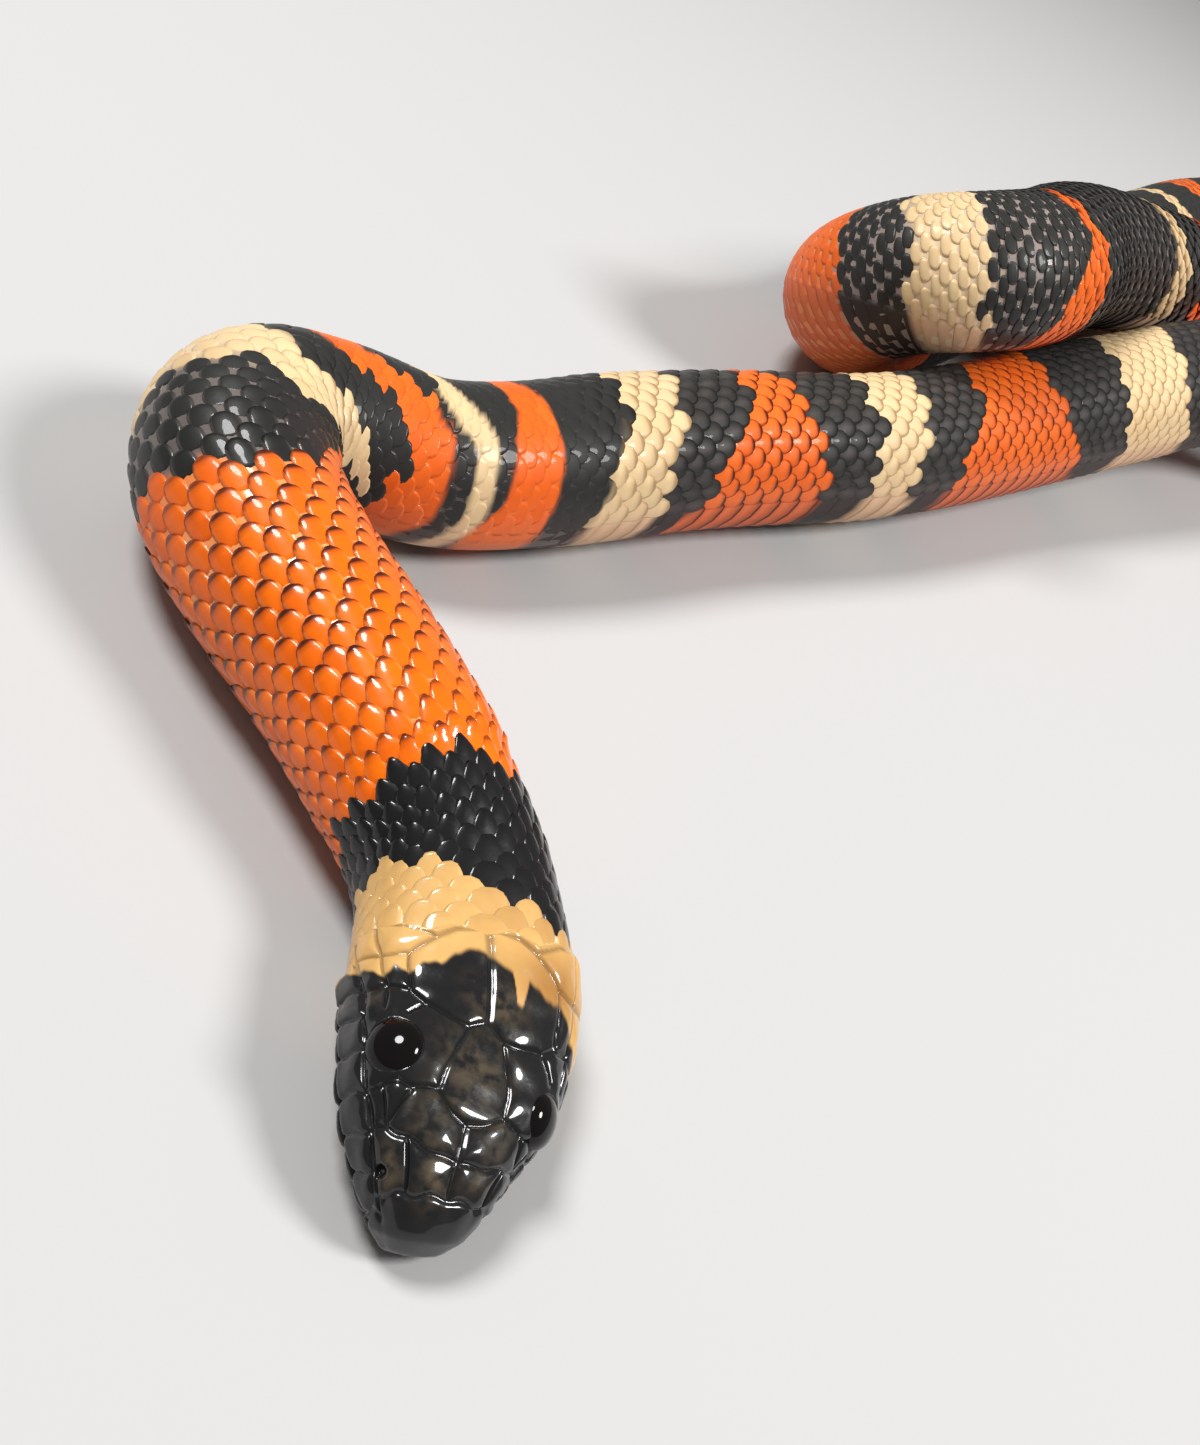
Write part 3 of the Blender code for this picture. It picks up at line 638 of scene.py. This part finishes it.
def pigment_group():
    """Colour of banded hide from its masks, for skin, scales and plates."""
    group = bpy.data.node_groups.new("banded_pigment", "ShaderNodeTree")
    for name in MASKS:
        group.interface.new_socket(name, in_out="INPUT", socket_type="NodeSocketFloat")
    group.interface.new_socket("Color", in_out="OUTPUT", socket_type="NodeSocketColor")
    wiring = Wiring(group)
    given = wiring.nodes.new("NodeGroupInput").outputs
    masks = {name: given[name] for name in MASKS}
    masks["patch"] = wiring.noise(PATCH_SCALE, 2.0)
    masks["grain"] = wiring.noise(GRAIN_SCALE, 4.0)
    masks["worn"] = wiring.reckon("MULTIPLY", given["Gold"], given["Chance"])

    def layered(color, layers):
        for mask, strength, over, *over_neck in layers:
            share = masks[mask]
            if strength < 1:
                share = wiring.reckon("MULTIPLY", share, strength)
            if over_neck:
                over = wiring.mix(given["Gold"], over, over_neck[0])
            color = wiring.mix(share, color, over)
        return color

    color = layered(BLACK, BLACK_LAYERS)
    color = wiring.mix(given["Orange"], color, layered(ORANGE, ORANGE_LAYERS))
    color = wiring.mix(given["Cream"], color, layered(CREAM, CREAM_LAYERS))
    dusted = wiring.reckon("MULTIPLY", masks["grain"], DUSTING)
    color = wiring.mix(dusted, color, DUST, "MULTIPLY")
    wiring.feed(wiring.nodes.new("NodeGroupOutput").inputs["Color"], color)
    return group


PIGMENT = pigment_group()


HIDE_SPECULAR = 0.14
COAT_ROUGHNESS = 0.05
COAT_FLOOR = 0.08       # clear gloss where the warm share is nought
NECK_POLISH = 0.18      # how much smoother head and neck are than the body
GRAIN_STRENGTH = 0.6


def plain_finish(name, values):
    """A finish that is the same all over."""
    mat = bpy.data.materials.new(name)
    mat.use_nodes = True
    for socket, value in values.items():
        mat.node_tree.nodes["Principled BSDF"].inputs[socket].default_value = value
    return mat


def hide_material(title, roughness, coat, grain_scale, grain_height):
    """Glossy banded hide whose masks come from the mesh's own attributes."""
    mat = plain_finish(title, {"Specular IOR Level": HIDE_SPECULAR,
                               "Coat Roughness": COAT_ROUGHNESS})
    wiring = Wiring(mat.node_tree)
    shader = wiring.nodes["Principled BSDF"].inputs
    pigment = wiring.nodes.new("ShaderNodeGroup")
    pigment.node_tree = PIGMENT
    *stored, flecks = [*wiring.stored("marks"), *wiring.stored("place")]
    gold = stored[MASKS.index("Gold")]
    for name, mask in zip(MASKS, stored):
        wiring.feed(pigment.inputs[name], mask)
    wiring.feed(shader["Base Color"], pigment.outputs["Color"])
    wiring.feed(shader["Coat Weight"], wiring.reckon("MULTIPLY_ADD", gold, coat, COAT_FLOOR))
    dull = wiring.reckon("MULTIPLY_ADD", gold, -NECK_POLISH, roughness + NECK_POLISH)
    wiring.feed(shader["Roughness"], dull)
    relief = wiring.nodes.new("ShaderNodeBump")
    wiring.feed(relief.inputs["Strength"], GRAIN_STRENGTH)
    wiring.feed(relief.inputs["Distance"], grain_height)
    wiring.feed(relief.inputs["Height"], wiring.noise(grain_scale, 3.0))
    wiring.feed(shader["Normal"], relief.outputs["Normal"])
    return mat, pigment.outputs["Color"], flecks


skin_finish, banded, fleck_mask = hide_material(
    "hide_and_head_shields", roughness=0.28, coat=0.62, grain_scale=1500.0, grain_height=0.00004)
# the head's brown flecks lie over the pigment, broken up by a fine noise
skin_wiring = Wiring(skin_finish.node_tree)
broken = skin_wiring.nodes.new("ShaderNodeValToRGB")
broken.color_ramp.elements[0].position = 0.38
broken.color_ramp.elements[1].position = 0.62
skin_wiring.feed(broken.inputs["Fac"], skin_wiring.noise(1000.0, 5.0))
fleck_share = skin_wiring.reckon("MULTIPLY", broken.outputs["Color"], fleck_mask)
flecked_color = skin_wiring.mix(fleck_share, banded, FLECK_BROWN)
skin_wiring.feed(skin_wiring.nodes["Principled BSDF"].inputs["Base Color"], flecked_color)


def ring_faces(first, rings, columns):
    """Quads between neighbouring rings of points, each ring closed round."""
    faces = []
    for i in range(rings - 1):
        row = first + i * columns
        for j in range(columns):
            k = (j + 1) % columns
            faces.append((row + j, row + columns + j, row + columns + k, row + k))
    return faces


def joint_faces(last, start):
    """Triangles from the head's last ring of points to the tube's sparser first one."""
    per = HEAD_COLUMNS // BODY_COLUMNS
    faces = []
    for j in range(BODY_COLUMNS):
        near = start + j
        far = start + (j + 1) % BODY_COLUMNS
        for k in range(per):
            one = last + j * per + k
            two = last + (j * per + k + 1) % HEAD_COLUMNS
            faces.append((one, near if k < per // 2 else far, two))
        faces.append((last + j * per + per // 2, near, far))
    return faces


def skin():
    """The whole hide, with its marks: fine on the head, a plain tube behind."""
    turn = np.arange(HEAD_COLUMNS) / HEAD_COLUMNS * 2.0 - 1.0
    angles = 180.0 * (turn - CROWN_CROWDING * np.sin(np.pi * turn) / np.pi)
    share = np.linspace(0, 1, HEAD_RINGS)
    crowded = SNOUT_CROWDING * share ** 2.6 + (1 - SNOUT_CROWDING) * share
    stops = HEAD_SKIN_END * crowded + 0.02 * (1 - share)
    s, a = np.meshgrid(stops, angles, indexing="ij")
    height, groove = head_relief(s, a)
    base = body.surface(s, a)
    sunk = np.zeros(s.shape)
    for side in (1, -1):
        away = np.linalg.norm(base - body.surface(EYE_AT[0], side * EYE_AT[1]), axis=-1)
        socket = step(SOCKET_RADIUS + 0.12 - away, 0.0, 0.22)
        rim = SOCKET_RIM * bump(away, SOCKET_RADIUS + 0.22, 0.30)
        height = height * (1 - socket) - SOCKET_DEPTH * socket + rim
        away = np.linalg.norm(base - body.surface(NOSTRIL_AT[0], side * NOSTRIL_AT[1]), axis=-1)
        nostril = np.exp(-((away / NOSTRIL_RADIUS) ** 4))
        height -= NOSTRIL_DEPTH * nostril
        sunk = np.maximum(sunk, np.maximum(socket, nostril))
    head = body.raised(s, a, height)
    rear = np.concatenate([np.arange(start, end, gap) for start, end, gap in BODY_RINGS])
    rear = np.append(rear[rear < body.length - 1.5], body.length - 0.5)
    bs, ba = np.meshgrid(rear, angles[::HEAD_COLUMNS // BODY_COLUMNS], indexing="ij")
    girth = sizes(bs, body.length)[0]
    tube = body.raised(bs, ba, -np.minimum(COAT_DEPTH, THIN_COAT * girth))
    points = np.concatenate([head.reshape(-1, 3), tube.reshape(-1, 3)])
    start = HEAD_RINGS * HEAD_COLUMNS
    faces = ring_faces(0, HEAD_RINGS, HEAD_COLUMNS)
    faces += joint_faces(start - HEAD_COLUMNS, start)
    faces += ring_faces(start, len(rear), BODY_COLUMNS)
    nose = len(points)
    points = np.vstack([points, body.surface(0.0, 0.0), body.surface(body.length, 0.0)])
    for j in range(HEAD_COLUMNS):
        faces.append((nose, j, (j + 1) % HEAD_COLUMNS))
    row = nose - BODY_COLUMNS
    for j in range(BODY_COLUMNS):
        faces.append((row + j, nose + 1, row + (j + 1) % BODY_COLUMNS))
    obj = new_mesh("skin", placed(points), faces, skin_finish)
    # the marks: painted shade in grooves, eye sockets and nostrils; pale hide between the scales,
    # and painted shade on that hide where it is not pale
    s_all = np.concatenate([s.ravel(), bs.ravel(), [0.0, body.length]])
    a_all = np.concatenate([a.ravel(), ba.ravel(), [0.0, 0.0]])
    orange, cream = markings(s_all, a_all, 0.25)
    none = np.zeros(bs.size + 2)
    # painted shade in the grooves, eye sockets and nostrils: orange and cream give way to black
    # there and the flecks are left out
    dark = np.concatenate([np.maximum(groove, sunk).ravel(), none])
    shield_end = ramp(SHIELD_END, np.abs(a_all))
    bare = step(s_all, shield_end, shield_end + 0.3)
    # painted shade on the hide between the scales wherever it does not show pale, less on the
    # smooth stretch
    shaded = 0.75 * bare * (1 - pale_gaps(s_all)) * (1 - smooth_stretch(s_all))
    bare = bare * pale_gaps(s_all)
    under = step(np.abs(a_all), 118, 140) * step(s_all, 20, 40)
    worn = 0.2 + 0.8 * bump(s_all, 17.5, 2.6) * bump(wrapped(a_all), -32, 26)
    flecks = flecked(s_all, a_all) * (1 - dark) * (1 - cream)
    warm = golden(s_all)
    paint(obj, "marks", orange * (1 - 0.8 * dark), cream * (1 - 0.5 * dark), shaded, warm)
    paint(obj, "place", under, worn, bare, flecks)
    return obj


hide = skin()
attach(hide, "root")
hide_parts(*[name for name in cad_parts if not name.startswith("eye_")])


# Scales of the back and flanks
# Small horny lozenges, one flake each, rooted in front and free behind, so that
# every row covers the roots of the next. Twenty-three rows run round the body.
ROWS = 23
ROW_SPAN = 117.0        # angle from the crown to the lowest row's edge, degrees
THROAT_ROWS = 8         # further rows under the throat, before the belly plates
THROAT_END = 24.0       # where they end, mm from the snout
# distance from the snout, length of a scale over the distance between rings and half
# its width over that between rows, which leaves hide in sight where it is drawn out
SPREAD = [(0, 1.45, 0.95), (22, 1.45, 0.92), (27, 1.6, 0.80), (36, 1.45, 0.80),
          (44, 1.05, 0.82), (52, 0.98, 0.78), (61, 0.96, 0.79), (66, 0.98, 0.85),
          (74, 1.0, 0.86), (82, 1.7, 1.08), (108, 1.6, 1.05), (124, 1.08, 0.84),
          (240, 1.12, 0.86), (540, 1.2, 0.88), (558, 0.98, 0.84), (598, 1.0, 0.86),
          (606, 1.3, 0.92), (650, 1.25, 0.92), (700, 1.3, 0.9), (1216, 1.45, 0.95)]
SCALE_LIFT = 0.36       # height of the free end over the skin, mm
SCALE_DOME = 0.17
SCALE_SINK = 0.22       # depth that the underside is rooted below the skin
SCALE_BED = 0.04        # how far a whole scale is pressed into the hide
RIM_DROP = 0.09         # how much lower its sides lie than its middle
FULL_SIZE = 4.0         # length and half width past which relief is full, mm
# powers by which a scale's size gives way where the hide is drawn out or folded
DRAWN_LENGTH = 0.95
DRAWN_WIDTH = 0.15
FOLDED_LENGTH = 0.25
SIZE_DRAW = 0.02        # unevenness of length and width
PLACE_DRAW = (0.06, 0.25)    # of the place, mm and degrees
# distance between rings of scales along the body, mm
PITCH = [(12, 2.2), (21, 2.1), (27, 1.9), (32, 2.0), (37, 2.6), (46, 3.4), (60, 3.7),
         (66, 3.0), (71, 2.2), (84, 1.7), (102, 1.8), (110, 2.4), (120, 3.3), (240, 3.1),
         (300, 3.7), (520, 4.2), (570, 5.2), (596, 4.4), (606, 2.4), (613, 1.5),
         (619, 1.25), (645, 1.25), (660, 2.4), (672, 3.8), (900, 3.9), (1010, 3.6),
         (1090, 3.1), (1150, 2.5), (1186, 1.8)]
# rows left on the tail: distance from the snout and rows round
TAIL_ROWS = [(930, 21), (985, 19), (1020, 17), (1050, 15), (1078, 13), (1102, 11),
             (1128, 9), (1148, 7), (1165, 5)]
ALONG = np.array([0.0, 0.25, 0.48, 0.68, 0.82, 0.91, 1.0])
ACROSS = np.array([-1.0, -0.7, 0.0, 0.7, 1.0])
OUTLINE = np.array([0.62, 0.92, 1.0, 0.97, 0.84, 0.66, 0.26])
POINTED = np.array([0.72, 1.0, 0.98, 0.82, 0.60, 0.40, 0.12])   # those of the nape
COAT_PIECES = 5
PATCH = 0.003           # size of a scale on the unwrapped skin


def ring_stops():
    """Distances from the snout at which the rings of scales stand."""
    stops = [11.0]
    while stops[-1] < body.length - 2.5:
        stops.append(stops[-1] + float(ramp(PITCH, stops[-1])))
    return np.array(stops)


RING_STOPS = ring_stops()


def rows_at(s):
    """Rows of scales round the body, fewer along the tail."""
    count = ROWS
    for start, rows in TAIL_ROWS:
        if s >= start:
            count = rows
    return count


def stretch(s, angle):
    """Real length of a millimetre of body line on the surface there."""
    reach = 0.4
    apart = body.surface(s + reach, angle) - body.surface(s - reach, angle)
    return np.linalg.norm(apart, axis=-1) / (2 * reach)


def boldness(roots, lengths):
    """How far scales stand up: less if small, on the collar and on the smooth stretch."""
    collar = 1 - 0.55 * (1 - step(roots, 24, 27))
    small = np.clip(lengths / FULL_SIZE, 0.3, 1.0)
    return small * (1 - 0.72 * smooth_stretch(roots)) * collar


def patches(roots, angles, lengths, halves, along, across, outline, lift, dome):
    """Places and domed tops of many flakes, and the depth of the hide there."""
    v = along[None, :, None]
    u = across[None, None, :]
    s = roots[:, None, None] + v * lengths[:, None, None]
    s = np.minimum(s, body.length - 0.2) + 0 * u
    around = per_degree(s)
    if outline is OUTLINE:
        nape = between(roots, 23, 28, 37, 46)[:, None]
        outline = outline * (1 - nape) + POINTED * nape
    half = halves[:, None, None] * outline.reshape(-1, len(along), 1)
    a = angles[:, None, None] + u * half / np.maximum(around, 0.02)
    rim = (np.abs(u) >= 0.99) * (1.0 - 0.6 * step(v, 0.8, 0.95))
    crown = (1 - u * u) * step(v, 0.2, 0.65) * (1 - 0.8 * step(v, 0.75, 1.0))
    top = lift * v ** 0.9 + dome * crown - RIM_DROP * rim
    top = boldness(roots, lengths)[:, None, None] * top - SCALE_BED
    girth = sizes(s, body.length)[0]
    small = np.clip(girth / FULL_SIZE, 0.25, 1.0)
    depth = np.minimum(COAT_DEPTH, THIN_COAT * girth)
    return s, a, body.raised(s, a, top * small - depth), depth


def flake_faces(grid, border):
    """Faces of one flake: its domed top, its skirt and its closed underside."""
    rows, cols = grid.shape
    first = rows * cols
    edge = len(border)
    faces = []
    for i in range(rows - 1):
        for j in range(cols - 1):
            faces.append((grid[i, j], grid[i + 1, j], grid[i + 1, j + 1], grid[i, j + 1]))
    for i in range(edge):
        j = (i + 1) % edge
        faces.append((border[i], border[j], first + j, first + i))
    faces.append(tuple(first + i for i in range(edge - 1, -1, -1)))
    return faces


def unwrap_flakes(obj, roots, angles, u, v, border):
    """Lays each flake as a small patch at its root's place on the unrolled skin."""
    top = np.stack([u * 0.42, v * 0.85], -1)
    low = np.stack([u * 0.5, (v - 0.5) + 0.45], -1)[border]
    home = np.stack([(angles + 180.0) / 360.0, roots / body.length], -1)
    places = (home[:, None, :] + (np.vstack([top, low]) * PATCH)[None]).reshape(-1, 2)
    corners = np.zeros(len(obj.data.loops), np.int32)
    obj.data.loops.foreach_get("vertex_index", corners)
    sheet = np.clip(places[corners], 0, 1).reshape(-1).astype(np.float32)
    obj.data.uv_layers.new(name="OFBake").data.foreach_set("uv", sheet)


def flakes(name, roots, angles, lengths, halves, chance, shape, material):
    """One joined mesh of closed flakes with its marks and its unwrap."""
    along, across, outline, lift, dome, one_colour = shape
    s, a, top, depth = patches(roots, angles, lengths, halves, along, across, outline, lift, dome)
    rows = len(along)
    cols = len(across)
    grid = np.arange(rows * cols).reshape(rows, cols)
    border = np.concatenate([grid[0, :], grid[1:, -1], grid[-1, -2::-1], grid[-2:0:-1, 0]])
    count = len(roots)
    low = body.raised(s, a, -depth - SCALE_SINK * np.clip(depth / COAT_DEPTH, 0, 1))
    low = low.reshape(count, -1, 3)[:, border]
    block = np.concatenate([top.reshape(count, -1, 3), low], axis=1)
    per = block.shape[1]
    faces = flake_faces(grid, border)
    every = []
    for k in range(count):
        every += [tuple(k * per + n for n in face) for face in faces]
    obj = new_mesh(name, placed(block.reshape(-1, 3)), every, material)
    # the domed top is smooth, the skirt and the underside are flat
    domed = (rows - 1) * (cols - 1)
    smooth = [True] * domed + [False] * (len(faces) - domed)
    obj.data.polygons.foreach_set("use_smooth", smooth * count)

    # a scale is of one colour, but the ring edges cut across belly plates and across
    # the scales that are drawn out behind the first bend
    whole = markings(roots + 0.55 * lengths + (chance - 0.5) * 0.8, angles)
    fine = markings(s.reshape(count, -1), a.reshape(count, -1), 0.2)
    level = np.ones(count)
    if one_colour:
        level = between(roots, 76, 82, 106, 114)
        level[(roots < 92) & (stretch(roots, angles) < 1.1)] = 0
    level = level[:, None]
    marks = []
    for one, own in zip(whole, fine):
        mark = level * own + (1 - level) * one[:, None]
        marks.append(np.concatenate([mark, mark[:, border]], axis=1).ravel())

    def with_skirt(values, skirt):
        return np.concatenate([values, np.full(len(border), skirt)])

    v = np.broadcast_to(along[:, None], (rows, cols)).ravel()
    u = np.broadcast_to(across[None, :], (rows, cols)).ravel()
    rim = np.maximum(np.abs(u) >= 0.99, v >= 0.99)
    free = step(v, 0.6, 0.85)
    middle = np.abs(u) < 0.5
    inner = (v > 0.8) * (0.35 + 0.65 * (v > 0.9))
    # tip: the dark end and skirt of each scale, partly dark pigment and partly painted shadow
    tip = with_skirt(np.maximum(rim * free, inner), 1.0)
    # side: painted shade along the sides of each scale
    side = with_skirt(rim * (1 - free), 0.0)
    spot = with_skirt(middle * step(v, 0.4, 0.6), 0.0)
    # pale: the sides and skirt of each scale, partly pale hide and partly a painted highlight
    pale = with_skirt(rim * (1 - free) * 0.8, 0.4)
    # shine: a painted sheen on the middle of each scale
    shine = with_skirt(middle * bump(v, 0.5, 0.3), 0.0)

    # dark ends, partly dark pigment and partly painted shadow, dark spots, and painted shade on the
    # sides where the hide between is dark; spots are strong on the collar and on the rear loop
    bold = boldness(roots, lengths)
    gaps = pale_gaps(roots)
    spotted = (0.10 + 0.45 * step(roots, 590, 602)) * (0.2 + 0.8 * chance)
    spotted += 2.0 * chance ** 3 * (1 - step(roots, 26, 30))
    dark_tips_and_shade = np.outer(1.2 * bold ** 1.5, tip) + np.outer(bold * spotted, spot)
    dark_tips_and_shade += np.outer(0.5 * bold * (1 - gaps), side)
    paint(obj, "marks", *marks, np.clip(dark_tips_and_shade, 0, 1).ravel(), np.repeat(golden(roots), per))
    # rosy flanks low down and on the neck's left; pale rims, partly pale hide and partly a painted
    # highlight; a painted sheen on the middles of the scales of the front pass
    flank = np.abs(wrapped(angles))
    under = step(flank, 100, 128) * step(roots, 26, 60)
    rosy = step(-angles, -5, 50) * between(roots, 34, 42, 64, 74)
    under = np.maximum(under, 0.8 * rosy * (flank < 120))
    front = between(roots, 112, 124, 585, 600) * (0.4 + 0.6 * chance)
    # pale rims, partly painted highlight, and the painted sheen of the front pass
    bare = np.outer(bold * gaps, pale) + np.outer(0.22 * front, shine)
    paint(obj, "place", np.repeat(under, per), np.repeat(chance, per),
          np.clip(bare, 0, 1).ravel(), 0.0)
    unwrap_flakes(obj, roots, angles, u, v, border)
    return obj


scale_finish = hide_material("banded_scales", roughness=0.32, coat=0.40,
                             grain_scale=2200.0, grain_height=0.00002)[0]


def dorsal_scales():
    """All the flakes of the back, flanks and throat, joined in a few pieces."""
    draw = np.random.default_rng(21)
    found = []
    for stop in RING_STOPS:
        pitch = float(ramp(PITCH, stop))
        bands = [(-ROW_SPAN, 2 * ROW_SPAN, rows_at(stop))]
        if stop < THROAT_END:
            bands.append((ROW_SPAN, 2 * (180.0 - ROW_SPAN), THROAT_ROWS))
        for start, span, rows in bands:
            gap = span / rows
            for row in range(rows):
                # every other row stands half a step back
                root = stop + (row % 2) * pitch / 2
                found.append((root, start + gap * (row + 0.5), pitch, gap))
    roots, angles, pitch, gap = np.array(found).T
    keep = roots > ramp(SHIELD_END, np.abs(wrapped(angles))) - 0.85 * pitch
    roots, angles, pitch, gap = (each[keep] for each in (roots, angles, pitch, gap))
    count = len(roots)
    drawn_out = stretch(roots + pitch / 2, angles)
    power = np.where(drawn_out > 1.0, DRAWN_LENGTH, FOLDED_LENGTH)
    lengths = pitch * ramp(SPREAD, roots) * (1.0 / drawn_out ** power)
    lengths *= draw.normal(1, SIZE_DRAW, count)
    halves = gap * per_degree(roots) * ramp(SPREAD, roots, 2) * draw.normal(1, SIZE_DRAW, count)
    halves /= np.maximum(drawn_out, 1.0) ** DRAWN_WIDTH
    angles = angles + draw.normal(0, PLACE_DRAW[1], count)
    roots = roots + draw.normal(0, PLACE_DRAW[0], count)
    chance = draw.random(count)
    # on the collar the worn scales are those of its left side
    chance = np.where(roots < 27, 0.15 + 0.6 * chance * step(-angles, -40, 40), chance)
    order = np.argsort(roots, kind="stable")
    shape = (ALONG, ACROSS, OUTLINE, SCALE_LIFT, SCALE_DOME, True)
    for piece in range(COAT_PIECES):
        part = order[piece * count // COAT_PIECES:(piece + 1) * count // COAT_PIECES]
        obj = flakes("dorsal_scales_%d" % (piece + 1), roots[part], angles[part], lengths[part],
                     halves[part], chance[part], shape, scale_finish)
        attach(obj, "root")


dorsal_scales()


# Belly plates
# Broad smooth scutes, one across the belly for each ring of scales, and under the
# tail two rows of smaller ones. Each overlaps the plate behind it by its free edge.
VENT = 1010.0           # where the tail begins, mm from the snout
PLATE_SPAN = 65.0       # half the angle that a plate covers, degrees
PAIR_SPAN = 35.1        # the same of a tail plate
PLATE_OVERLAP = 1.28    # length over the distance to the next
PAIR_OVERLAP = 1.35
PLATE_LIFT = 0.34
PLATE_DOME = 0.02
PAIR_DOME = 0.04
PLATE_ALONG = np.array([0.0, 0.5, 0.85, 0.96, 1.0])
PLATE_ACROSS = np.array([-1.0, -0.93, -0.75, -0.5, -0.25, 0.0, 0.25, 0.5, 0.75, 0.93, 1.0])
PLATE_OUTLINE = np.array([0.97, 1.0, 1.0, 0.985, 0.96])
PAIR_OUTLINE = np.array([0.92, 1.0, 0.97, 0.86, 0.74])


def plates(name, roots, middles, half_span, overlap, draw, shape):
    """Scutes at these places, each as long as the step to the next and its overlap."""
    obj = flakes(name, roots, middles, ramp(PITCH, roots) * overlap, half_span * per_degree(roots),
                 draw.random(len(roots)), (PLATE_ALONG, *shape, False), plate_finish)
    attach(obj, "root")


plate_finish = hide_material("belly_plates", roughness=0.38, coat=0.1,
                             grain_scale=1500.0, grain_height=0.00002)[0]
plate_draw = np.random.default_rng(5)
plate_stops = RING_STOPS[RING_STOPS > 23.0]
whole = plate_stops[plate_stops < VENT]
plates("belly_plates", whole, np.full(len(whole), 180.0), PLATE_SPAN, PLATE_OVERLAP, plate_draw,
       (PLATE_ACROSS, PLATE_OUTLINE, PLATE_LIFT, PLATE_DOME))
first_row = plate_stops[plate_stops >= VENT]
pairs = np.concatenate([first_row, first_row + ramp(PITCH, first_row) / 2])
middles = np.repeat([180 - PLATE_SPAN / 2, 180 + PLATE_SPAN / 2], len(first_row))
plates("tail_plates", pairs, middles, PAIR_SPAN, PAIR_OVERLAP, plate_draw,
       (PLATE_ACROSS[::2], PAIR_OUTLINE, PLATE_LIFT, PAIR_DOME))


# Eyes
# Each is a dark round-pupilled eye behind a clear fixed scale, which stands a
# little proud of the ring of shields round it and shines like wet glass.
EYE_ACROSS = 2.02     # half its width
EYE_THICK = 1.20      # half its depth
EYE_SET = 0.5         # its middle below the surface, mm

glass = plain_finish("eye_spectacle", {
    "Base Color": (0.004, 0.003, 0.003, 1), "Roughness": 0.07, "Coat Weight": 0.25,
    "Specular IOR Level": 0.15, "Coat Roughness": 0.03})


def deselect():
    for picked in bpy.context.selected_objects:
        picked.select_set(False)


for word, side in (("right", 1), ("left", -1)):
    deselect()
    spot = np.array([EYE_AT[0], side * EYE_AT[1]])
    low = body.raised(spot[0], spot[1], np.array(-EYE_SET))
    high = body.raised(spot[0], spot[1], np.array(1.0))
    facing = (high - low) / np.linalg.norm(high - low)
    bpy.ops.mesh.primitive_uv_sphere_add(segments=64, ring_count=40, radius=1.0)
    eye = bpy.context.object
    eye.name = "eyeball_" + word
    eye.data.name = eye.name
    axis = np.cross([0.0, 0.0, 1.0], facing)
    axis /= np.linalg.norm(axis)
    other = np.cross(facing, axis)
    turn = np.stack([axis * EYE_ACROSS, other * EYE_ACROSS, facing * EYE_THICK], 0)
    for vert in eye.data.vertices:
        vert.co = placed(low + np.array(vert.co) @ turn)
    eye.data.update()
    bpy.ops.object.shade_smooth()
    eye.data.materials.append(glass)
    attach(eye, "root")
    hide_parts("eye_" + word)


# Floor, light and camera
# A plain pale floor, a broad soft light on each side of the snake, and the camera
# low in front of the head, turned as in the picture.
FLOOR_SIZE = 6.0
LIGHT_SIZE = 0.28
LIGHT_TARGET = (0, -0.1, 0)
CAMERA_HEIGHT = 90.0    # over the start of the route, mm
# the camera's right, its up and its back, as directions of the frame
CAMERA_X = (0.8290, 0.3443, 0.4407)
CAMERA_Y = (-0.5592, 0.5104, 0.6533)
CAMERA_Z = (0.0, -0.7880, 0.6157)

deselect()
bpy.ops.mesh.primitive_plane_add(size=FLOOR_SIZE, location=(0, 0, 0))
floor = bpy.context.object
floor.name = "floor"
paper = plain_finish("pale_floor", {"Base Color": (0.46, 0.455, 0.45, 1), "Roughness": 0.8})
floor.data.materials.append(paper)


def soft_light(name, place, power):
    """A round soft lamp at its place, turned to the snake."""
    lamp = bpy.data.lights.new(name, "AREA")
    lamp.shape = "DISK"
    lamp.size = LIGHT_SIZE
    lamp.energy = power
    obj = bpy.data.objects.new(name, lamp)
    bpy.context.scene.collection.objects.link(obj)
    obj.location = place
    away = np.array(place) - np.array(LIGHT_TARGET)
    flat = math.hypot(away[0], away[1])
    obj.rotation_euler = (math.atan2(flat, away[2]), 0, math.atan2(away[0], -away[1]))


soft_light("key", (0.55, -0.05, 0.72), power=8.6)
soft_light("fill", (-0.48, -0.14, 0.73), power=7.2)
world = bpy.data.worlds.new("studio")
world.use_nodes = True
sky = world.node_tree.nodes["Background"].inputs
sky["Color"].default_value = (1.0, 0.99, 0.97, 1)
sky["Strength"].default_value = 0.22
bpy.context.scene.world = world
bpy.context.scene.view_settings.view_transform = "Standard"

lens = bpy.data.cameras.new("camera")
lens.sensor_fit = "HORIZONTAL"
lens.sensor_width = 36.0
lens.lens = 45.0
lens.clip_start = 0.001
camera = bpy.data.objects.new("camera", lens)
bpy.context.scene.collection.objects.link(camera)
spot = placed(np.array([0.0, 0.0, CAMERA_HEIGHT]))
turn = [(CAMERA_X[k], CAMERA_Y[k], CAMERA_Z[k], spot[k]) for k in range(3)]
camera.matrix_world = Matrix([*turn, (0, 0, 0, 1)])
bpy.context.scene.camera = camera
